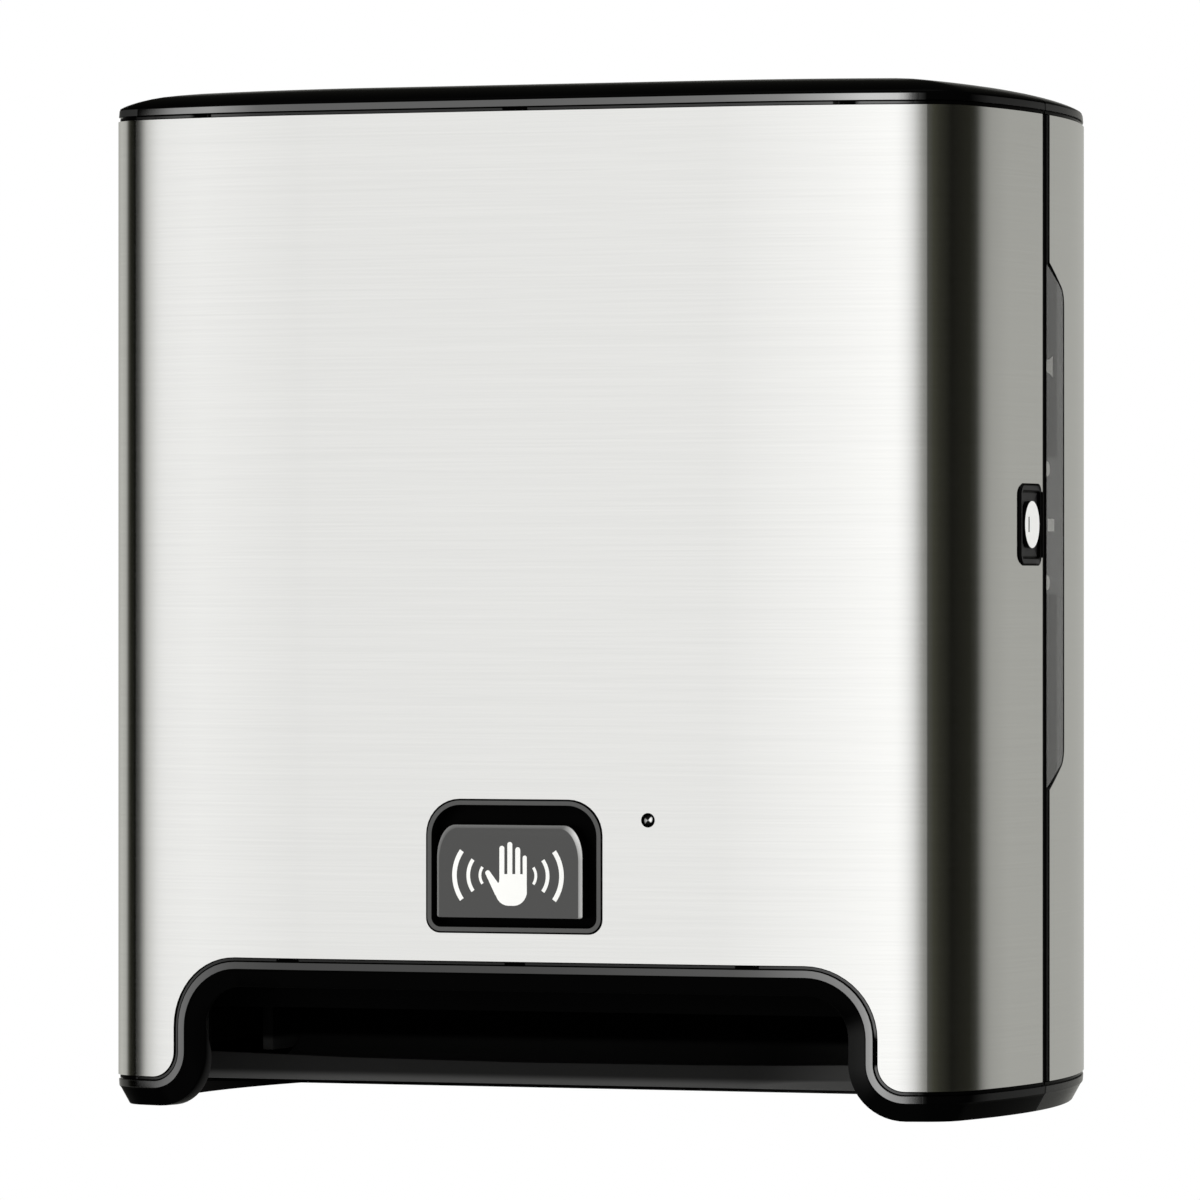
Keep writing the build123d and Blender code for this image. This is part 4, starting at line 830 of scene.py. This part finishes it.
def plan_at(arc, deep, left_y, right_y):
    """The plan drawn in by deep, at stations given by arc length; its sides end at left_y and right_y.

    A station keeps its share of the front and its turn in the arcs, so curves of any depth match point by point.
    """
    flat, radii, centres = plan_sizes(np.broadcast_to(deep, arc.shape))
    run, left = np.abs(arc), arc < 0
    last = np.arccos(np.clip((centres[2][1] - np.where(left, left_y, right_y)) / radii[2], -1, 1))
    share = (run - bend_ends[2]) / (np.where(left, -arc.min(), arc.max()) - bend_ends[2])
    zones, turn = turn_at(run, SIDE_TURN + share * (last - SIDE_TURN))
    way = np.stack([np.sin(turn), -np.cos(turn)])
    spots = [centre + radius * way for centre, radius in zip(centres, radii)]
    level = np.stack([run / flat_half * flat, front_y + deep + 0 * run])
    place = np.select([zone[None] for zone in zones], [level, spots[0], spots[1]], spots[2])
    return np.column_stack([place[0] * np.where(left, -1.0, 1.0), place[1]])


# %% Cap of the cover
CLIP_X, CLIP_HALF, CAP_LIFT = np.array([-124.0, 0.0, 124.0]) * MM, 4.8 * MM, 10.7 * MM
CAP_COUNTS = (30, 26, 14)
# The cap bevel's painted reflection along the case, as millimetres against light.
CAP_LIGHT = (
    (-172, 0.03), (-152, 0.05), (-143, 0.25), (-136, 0.5), (-120, 0.62), (-100, 0.27), (-81, 0.24), (32, 0.24),
    (70, 0.30), (101, 0.44), (116, 0.65), (131, 1.0), (144, 1.0), (146.5, 0.5), (148.5, 0.12), (151.5, 0),
    (172, 0), (187, 0.03), (231, 0.048),
)
clip_edges = np.concatenate([CLIP_X + side * CLIP_HALF + e for side in (-1, 1) for e in (-CLIP_STEP, CLIP_STEP)])
half_steps = bend_steps(arc_at_y(hinge[1] - CAP_GAP), CAP_COUNTS)
cap_arcs = np.unique(np.concatenate([-half_steps, half_steps, arc_at_x(clip_edges)]))
at_clip = np.any(np.abs(cap_arcs[:, None] - arc_at_x(CLIP_X)) < CLIP_HALF, axis=1)


def cover_cap():
    """Grid of plan curves, one for each point of the section, closed by a flat top and a flat underside."""
    left, right = seam_cut(cap_deep, CAP_GAP, -1), hinge[1] - CAP_GAP
    deeps = np.where(cap_ledge[:, None] & at_clip, GROOVE * MM, cap_deep[:, None])
    curves = [plan_at(cap_arcs, deep, end, right) for deep, end in zip(deeps, left)]
    rows = [np.insert(curve, 2, skin_high + up, axis=1) for curve, up in zip(curves, cap_up)]
    seam_line = np.full(len(cap_arcs), right)
    top = np.column_stack([curves[-1][:, 0], seam_line, rows[-1][:, 2]])
    inner = rows[0] + [0, 0, CAP_LIFT]
    under = np.column_stack([inner[:, 0], np.maximum(inner[:, 1], seam_line), inner[:, 2]])
    # Painted light for each point: none on the ledge at the clips and past the shoulder, elsewhere as set along the
    # case.
    dark = cap_ledge & (at_clip | (np.abs(cap_arcs) > bend_ends[1]))[:, None]
    band = np.where(dark, 0, cap_painted_light) * bevel_light(cap_arcs, CAP_LIGHT)[:, None]
    return np.stack([*rows, top, under, inner], axis=1), np.pad(band, ((0, 0), (0, 3)))


loops, band = cover_cap()
dress(ring_piece("cover_cap", loops, band=band), "cover", "black_trim", "cover_top_cap")

# %% Rear cap
REAR_STEPS, ROUND_FROM, ROUND_STEPS = 18, 0.97, 12
# REAR_LIGHT scales the painted reflection on the rear cap's bevel.
REAR_CAP_UNDER, REAR_CAP_R, REAR_LIGHT = 4.7 * MM, 2.5 * MM, 0.0515


def rear_piece(name, node, section, band, plate_z, rounded):
    """A section (deep, z) on both sides of the rear case, carried from the seam to the wall and joined across.

    At each station the right-hand section is mirrored to the left, and a plate at plate_z joins the two.
    Near the wall the section draws in by a small quarter round.
    """
    deep, level = section
    stations = []
    near_wall = ROUND_FROM + (1 - ROUND_FROM) * np.sin(np.linspace(0, np.pi / 2, ROUND_STEPS))
    for share in np.concatenate([np.linspace(0, ROUND_FROM, REAR_STEPS)[:-1], near_wall]):
        sides = []
        for sign, front in ((1, np.full_like(deep, hinge[1] + CAP_GAP)), (-1, seam_cut(deep, CAP_GAP, 1))):
            y = front - front * share
            drawn = rounded - np.sqrt(np.maximum(rounded**2 - np.maximum(y + rounded, 0) ** 2, 0))
            sides.append(np.column_stack([sign * (half_at(deep, y) - drawn), y, level]))
        right, left = sides
        plate = [[*side[0, :2], plate_z] for side in (left, right)]
        stations.append(np.concatenate([right, left[::-1], plate]))
    # The section's painted light goes to both sides; the joining plate gets none.
    both_sides = np.concatenate([band, band[::-1], [0, 0]])
    dress(ring_piece(name, stations, band=both_sides), "base", "black_trim", node)


# A weak painted reflection on the rear cap's bevel, none on its ledge.
rear_painted_light = np.where(cap_ledge, 0, REAR_LIGHT * cap_painted_light)
rear_section = cap_deep, skin_high + cap_up
rear_piece("rear_cap", "rear_top_cap", rear_section, rear_painted_light, skin_high + REAR_CAP_UNDER, REAR_CAP_R)

# %% Rear lower moulding with its floor
FLOOR_LIFT, FLOOR_T, FLOOR_R = 4.9 * MM, 2.5 * MM, 1.0 * MM
floor_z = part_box("rear_bottom_trim")[0].z + FLOOR_LIFT
lower = soften(reveal + lip[:1] + lip[2:5], reveal_radii + [0.2, 0.3, 0.5, 0.6], STEPS) * MM
lower = np.concatenate([lower, [(TRIM_INNER * MM, skin_low - floor_z)]])
# Painted light on the rear lower moulding: a weak painted reflection on its bevel and slanted face.
lower_painted_light = np.append(np.repeat([0] * 7 + [0.053, 0.053, 0.054, 0.054, 0], STEPS).astype(float), 0)
rear_section = lower[:, 0], skin_low - lower[:, 1]
rear_piece("rear_lower_moulding", "rear_bottom_trim", rear_section, lower_painted_light, floor_z + FLOOR_T, FLOOR_R)

# %% [markdown]
# The rubber strip in the seam ends level with the steel. A short foot at its end reaches out to the moulding,
# so that no daylight shows at the corner.

# %% Foot of the seam strip
FOOT_OUT, FOOT_DROP, FOOT_RISE = 5.6 * MM, 1.4 * MM, 0.5 * MM
low, high = np.array(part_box("seam_gasket"))
high[0] += FOOT_OUT
foot_plan = np.array([low[[0, 1]], [high[0], low[1]], high[[0, 1]], [low[0], high[1]]])
foot = [np.insert(foot_plan, 2, level, axis=1) for level in (low[2] - FOOT_DROP, low[2] + FOOT_RISE)]
dress(ring_piece("seam_foot", foot), "base", "roller_rubber")

# %% [markdown]
# The sensor looks out of a pocket: a rim flush with the steel, straight walls, and a raised dark pad at the bottom.
# All are loops of one rounded rectangle that shrink and step back. The sign on the pad is printed:
# an open hand between arcs, put together from round-ended bars and ring pieces.

# %% Sensor pocket
RIM_W, RIM_EDGE, POCKET = 2.2 * MM, 0.3 * MM, 8.0 * MM
RIM_STEPS, RIM_CUT, LOOP_STEPS, LEAST_R = 9, 6, 14, 0.5 * MM
face_y = sensor_box[0].y


def pocket_loop(step_in, y):
    """The pocket's outline drawn in by step_in, at depth y."""
    radii = np.maximum(sensor_radii - step_in, LEAST_R)
    loop = round_loop(sensor_low + step_in, sensor_high - step_in, radii, LOOP_STEPS)
    return np.insert(loop, 1, y, axis=1)


rim = np.array([(0, sensor_box[1].y), (0, face_y), (RIM_W, face_y), (RIM_W, face_y + POCKET)])
rim_steps = soften(rim / MM, [0.01, 0.5, 0.5, 0.3], RIM_STEPS)[:-RIM_CUT] * MM
rim_in, rim_y = rim_steps.T
# The rim's flat face, short of its rounded edges, is painted lighter: a painted sheen.
rim_painted_sheen = (rim_in > RIM_EDGE) & (rim_in < RIM_W - RIM_EDGE) & (rim_y < face_y + NEAR)
pocket = ring_piece("sensor_pocket", [pocket_loop(*step) for step in rim_steps], band=rim_painted_sheen[:, None])
dress(pocket, "cover", "sensor_black", "sensor_bezel")

# %% Sensor pad
PAD_TOP_R, PAD_LOW_R = (7 * MM, 11.7 * MM), (0.8 * MM, 0.8 * MM)
# PAD_TONE is the pad face's own grey; BEVEL_LIGHT is painted light on its bevel by the way each place faces.
PAD_BEVEL, PAD_LEFT, PAD_TONE = 1.3 * MM, 0.65 * MM, 0.097
BEVEL_TURNS, BEVEL_LIGHT = np.radians([0, 45, 85, 180, 270, 360]), [0.7, 0.95, 0.22, 0.33, 0.33, 0.7]
pad_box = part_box("sensor_pad")
pad_low, pad_high = np.array(pad_box)[:, [0, 2]]
pad_face = pad_box[0].y + 0.05 * MM


def pad_loop(step_in, y):
    """The pad's outline at depth y; step_in draws in its top and sides, and leaves its foot."""
    low, high = pad_low + [step_in - PAD_LEFT, 0], pad_high - [step_in + PAD_LEFT, step_in]
    loop = round_loop(low, high, [PAD_TOP_R, PAD_TOP_R, PAD_LOW_R, PAD_LOW_R], LOOP_STEPS)
    return np.insert(loop, 1, y, axis=1)


pad_steps = [(0, pad_box[1].y), (0, pad_face + PAD_BEVEL), (NEAR, pad_face + PAD_BEVEL * 0.8)]
pad_steps += [(PAD_BEVEL * 0.85, pad_face + NEAR), (PAD_BEVEL, pad_face)]
# Painted light on the bevel, set by its turn round the outline, and the face's own grey tone.
pad_light = np.interp(corner_turns(LOOP_STEPS).ravel(), BEVEL_TURNS, BEVEL_LIGHT)
pad_light_and_tone = np.multiply.outer([0, 0, 1, 0.6, 0], pad_light) + np.array([0, 0, 0, 0, PAD_TONE])[:, None]
pad = ring_piece("sensor_pad_face", [pad_loop(*step) for step in pad_steps], band=pad_light_and_tone, crease=20)
dress(pad, "cover", "pad_grey", "sensor_pad")

# %% Lock plate
key_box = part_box("lock_cylinder")
key_r = (key_box[1].z - key_box[0].z) / 2
BARREL_R, KEY_SEAT, PAN, SEAM_SHADE = 6.05 * MM, 2.7 * MM, 1.0, 1.2 * MM
# Each FRAME step gives the inset, the depth under the plate's face, and painted light: the flat face is painted
# lighter.
FRAME = ((0, 0.4, 0), (0.15, 0.1, 0), (0.45, 0, 0), (0.7, 0, 1), (1.9, 0, 1), (2.2, 0, 0), (2.6, 0.3, 0))
FRAME += ((2.6, PAN, 0), (3.0, PAN, 0), (3.3, PAN, 1))
plate_back, plate_face = lock_box[0].x, lock_box[1].x
pan_x, seat_x = plate_face - PAN * MM, key_box[1].x - KEY_SEAT


def plate_loop(step_in, x):
    """The plate's outline drawn in by step_in, half as much on its two upright sides, at x."""
    low, high = np.array(lock_box)[:, 1:]
    drawn = np.array([0.5 * step_in, step_in])
    loop = round_loop(low + drawn + [LOCK_TRIM, 0], high - drawn, [max(LOCK_CORNER_R - step_in, MM)] * 4, 12)
    return np.insert(loop, 0, x, axis=1)


def bore_loop(radius, x):
    """A circle about the lock's axis whose points face those of the outline."""
    away = plate_loop(0, 0)[:, 1:] - lock_middle
    away /= np.linalg.norm(away, axis=1, keepdims=True)
    return np.insert(lock_middle + radius * away, 0, x, axis=1)


frame_steps = [(0, plate_back, 0)] + [(step * MM, plate_face - deep * MM, light) for step, deep, light in FRAME]
bore_steps = [(key_r + gap * MM, pan_x, light) for gap, light in ((0.9, 1), (0.6, 0), (0.3, 0))]
bore_steps += [(key_r + 0.3 * MM, seat_x, 0), (BARREL_R, seat_x, 0), (BARREL_R, plate_back, 0)]
plate_loops = [plate_loop(*s[:2]) for s in frame_steps] + [bore_loop(*s[:2]) for s in bore_steps]
plate_loops = np.array([*plate_loops, plate_loops[0]])
# Painted light on the frame's flat face, the pan's inner step and the bore's edge; near the seam it is taken away, a
# painted shade.
plate_painted_light = np.array([s[2] for s in frame_steps + bore_steps] + [0], float)[:, None]
plate_painted_light = plate_painted_light * (plate_loops[..., 1] < skin_box[1].y - SEAM_SHADE)
dress(ring_piece("lock_plate", plate_loops, capped=False, band=plate_painted_light), "cover", "lock_grey", "lock_escutcheon")

# %% The hand sign
FINGERS = ((-2.95, 8.25, 0.95), (0.1, 9.65, 0.95), (3.13, 7.8, 0.95), (5.8, 5.0, 0.78))
KNUCKLES = -3.0
PALM = (
    ((-8.35, -0.6), (-4.1, -7.4), 0.95, 1.75),
    ((-1.9, KNUCKLES), (4.45, KNUCKLES), 2.05, 2.1),
    ((-1.9, KNUCKLES), (-1.9, -7.6), 2.05, 2.6),
    ((4.45, KNUCKLES), (4.3, -7.6), 2.12, 2.3),
    ((-0.4, -7.25), (1.5, -7.25), 5.05, 5.05),
)
WAVES, WAVE_X, WAVE_Z, WAVE_LEFT = ((5.1, 1.05), (9.6, 1.4), (14.9, 1.75)), 5.6, -1.5, 0.65
PRINT_UP, SIGN_LEFT = 0.04 * MM, 0.2 * MM
sign_middle = (pad_low + pad_high) / 2 - [SIGN_LEFT, 0]


def bar(start, end, start_r, end_r, steps=14):
    """Outline of a round-ended bar: two half circles, one at each end."""
    start, end = np.asarray(start, float), np.asarray(end, float)
    half = np.arctan2(*(end - start)[::-1]) + np.linspace(-np.pi / 2, np.pi / 2, steps)
    return np.concatenate([end + end_r * way_at(half), start + start_r * way_at(half + np.pi)])


def wave_arc(centre, radius, thick, side, spread=36, steps=20):
    """A piece of a ring that opens towards the hand."""
    way = way_at(np.radians(np.linspace(-spread, spread, steps))) * [side, 1]
    return np.concatenate([centre + (radius + thick / 2) * way, (centre + (radius - thick / 2) * way)[::-1]])


def printed(name, shapes):
    """Flat print: the union of outlines, a hair in front of the pad's face."""
    corners, triangles = triangulate([shape * MM + sign_middle for shape in shapes])
    points = np.insert(corners, 1, pad_face - PRINT_UP, axis=1)
    return new_piece(name, points, triangles.tolist(), outward=False)


hand = [bar((x, KNUCKLES), (x, top), r, r) for x, top, r in FINGERS] + [bar(*part) for part in PALM]
waves = [wave_arc((side * WAVE_X - WAVE_LEFT, WAVE_Z), r, w, side) for side in (-1, 1) for r, w in WAVES]
for name, shapes in (("sign_hand", hand), ("sign_waves", waves)):
    dress(printed(name, shapes), "cover", "sign_white")

# %% [markdown]
# The towel roll is soft and never quite true: its edges are rounded and its face waves a little.
# It is a closed section of radius against length, turned about the roll's axis, with a ripple in the radius.

# %% Towel roll
RIPPLE, DRAWN_IN, ROLL_STEPS = 0.5 * MM, 0.75 * MM, 160
roll_r = (roll_high.z - roll_low.z) / 2
roll_ends = roll_low.x, roll_high.x
core_r = (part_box("roll_core")[1].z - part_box("roll_core")[0].z) / 2 + 0.1 * MM
roll_corners = [(roll_ends[0], core_r), (roll_ends[0], roll_r), (roll_ends[1], roll_r), (roll_ends[1], core_r)]
along, section_r = soften(np.array(roll_corners) / MM, [0.3, 2.5, 2.5, 0.3]).T * MM
turn = np.linspace(0, 2 * np.pi, ROLL_STEPS, endpoint=False)[:, None]
ripple = RIPPLE * (np.sin(3 * turn + 0.4) + 0.5 * np.sin(7 * turn))
radius = section_r + (ripple - DRAWN_IN) * (section_r > core_r + MM)
depth, height = roll_axis.y + radius * np.cos(turn), roll_axis.z + radius * np.sin(turn)
roll_points = np.stack([np.broadcast_to(along, radius.shape), depth, height], axis=-1)
roll_loops = np.concatenate([roll_points, roll_points[:1]])
dress(ring_piece("towel_roll", roll_loops, capped=False), "roll", "towel_paper", "paper_roll")

# %% [markdown]
# Every other piece keeps the CAD shape. A real edge is never sharp, and a softened edge catches a line of light,
# so each node is copied, merged, cleaned of needless edges and given a small Bevel.

# %% Softened copies of the CAD pieces
node_slot = {s["node"]: s["material_slot"] for s in frame["record"]["subparts"]}
node_body = {n: body for body, names in frame["record"]["behaviour"]["bodies"].items() for n in names}
shown = {n for o in bpy.data.objects for n in o.get("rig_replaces", [])}
KEEP_SHARP, EDGE_W = {"tear_bar", "drive_gear", "motor_pinion"}, 0.25 * MM
MERGE, LEVEL, EDGE = 2e-6, np.radians(0.5), np.radians(40)


def softened(node, width):
    """A merged copy of a CAD node with bevelled edges."""
    mesh = nodes[node].data.copy()
    shell = bmesh.new()
    shell.from_mesh(mesh)
    bmesh.ops.remove_doubles(shell, verts=shell.verts, dist=MERGE)
    bmesh.ops.dissolve_limit(shell, angle_limit=LEVEL, verts=shell.verts, edges=shell.edges)
    shell.to_mesh(mesh)
    shell.free()
    piece = smooth_piece(f"{node}_soft", mesh)
    if width:
        edge = piece.modifiers.new("soft_edge", "BEVEL")
        edge.width, edge.segments = width, 2
        edge.limit_method, edge.angle_limit = "ANGLE", EDGE
        edge.harden_normals = True
    return piece


for node in sorted(set(nodes) - shown):
    width = 0 if node in KEEP_SHARP else EDGE_W
    dress(softened(node, width), node_body[node], node_slot[node], node)
print("softened pieces", len(set(nodes) - shown))

# %% [markdown]
# Brushed metal shows its surroundings more than its own colour, so the studio matters as much as the steel.
# The world is white to the camera. In reflections it is a ring of pale screens and dark gaps round the object,
# drawn as grey levels against the compass direction; a plain even light serves everything else.

# %% Studio world
SCREENS = (
    (-180, 0.42), (-140, 0.46), (-113, 0.56), (-94, 0.47), (-88, 0.34), (-85, 0.21), (-80, 0.07), (-74, 0.02),
    (-57.2, 0.002), (-56.3, 0.004), (-55.8, 0.50), (-55.2, 0.60), (-54.4, 0.76), (-51.7, 1.02), (-44, 1.05),
    (-24, 0.965), (0, 1.12), (11.2, 1.22), (12.7, 1.09), (14.2, 0.80), (15, 0.55), (15.8, 0.18), (17.5, 0.09),
    (32, 0.05), (45, 0.03), (75, 0.008), (136.3, 0.02), (138.3, 0.29), (140.2, 0.40), (146, 0.455), (174, 0.42),
)
BEHIND, GREYS, WARMTH = (110 / 360, 135 / 360), [0.05, 0.1, 0.6, 0.8], [0.72, 0.935, 0.935, 0.99]
EVEN_LIGHT, CEILING, DIM = 0.7, 1.1, 0.01
ABOVE, BELOW, OVERHEAD = (0.06, 0.24), (-0.24, -0.06), (0.72, 0.92)
world = bpy.data.worlds.new("studio")
bpy.context.scene.world = world
studio = Finish("studio", world)


def grey(level):
    """A grey of a level; the dim ones are a little warm, as a painted wall is."""
    return level, level, level * float(np.interp(level, GREYS, WARMTH))


east = studio.node("ShaderNodeSeparateXYZ", {}, {0: studio.node("ShaderNodeTexCoord", out="Generated")})
compass = east.math("ARCTAN2", east.other("Y") * -1.0) * (0.5 / np.pi) + 0.5
screens = studio.node("ShaderNodeValToRGB", {}, {"Fac": compass})
ramp = screens.socket.node.color_ramp.elements
while len(ramp) < len(SCREENS):
    ramp.new(1.0)
for stop, (angle, level) in zip(ramp, SCREENS):
    stop.position, stop.color = (angle + 180) / 360, (*grey(level), 1)
up = east.other("Z")
behind = studio.ease((compass - 0.5).math("ABSOLUTE"), *BEHIND, 0, 1)
dimmed = studio.ease(up, *ABOVE, 0, 0.97) + studio.ease(up, *BELOW, 0.5, 0)
screens = studio.shade(screens, grey(DIM), behind * dimmed)
screens = studio.shade(screens, grey(CEILING), studio.ease(up, *OVERHEAD, 0, 1))
camera_ray = studio.node("ShaderNodeLightPath", out="Is Camera Ray")
even = studio.shade(grey(EVEN_LIGHT), screens, camera_ray.other("Is Glossy Ray"))
colour = studio.shade(even, 1, camera_ray)
light = studio.node("ShaderNodeBackground", {}, {"Color": colour, "Strength": 1.0})
studio.node("ShaderNodeOutputWorld", {}, {"Surface": light})

# %% [markdown]
# Two large soft lamps light the matt pieces and stay out of reflections.
# The camera stands well back with a long lens and looks level, so upright edges stay upright.

# %% Floor and lamps
FLOOR_DROP, FLOOR_HALF = 0.26, 2.5
AIM = (0, -0.1, 0)
corners = np.array([(-1, -1, 0), (1, -1, 0), (1, 1, 0), (-1, 1, 0)]) * FLOOR_HALF
floor = new_piece("floor", corners + [0, 0, cad_box[0][2] - FLOOR_DROP], [[0, 1, 2, 3]], outward=False)
moulded("floor_paint", 0.85, 0.6)
floor.data.materials.append(finishes["floor_paint"])
floor.visible_glossy = False


def soft_lamp(name, place, size, power):
    """A large square lamp that points at the case and stays out of reflections."""
    data = bpy.data.lights.new(name, "AREA")
    data.size, data.energy = size, power
    lamp = add(name, data)
    lamp.location = place
    lamp.rotation_euler = (Vector(AIM) - Vector(place)).to_track_quat("-Z", "Y").to_euler()
    lamp.visible_glossy = False


soft_lamp("key", (-1.2, -2.2, 1.6), 1.6, 28)
soft_lamp("fill", (1.8, -1.6, 0.6), 1.4, 16)

# %% Camera
LENS, SENSOR, SHIFT = 257.3, 36.0, -0.0016
PLACE, TURN = (1.0780, -3.0870, -0.00085), np.radians(19.94)
camera = bpy.data.cameras.new("camera")
camera.lens, camera.sensor_width, camera.shift_y = LENS, SENSOR, SHIFT
viewer = add("camera", camera)
viewer.location, viewer.rotation_euler = PLACE, (np.pi / 2, 0, TURN)
bpy.context.scene.camera = viewer
bpy.context.scene.view_settings.view_transform = "Standard"
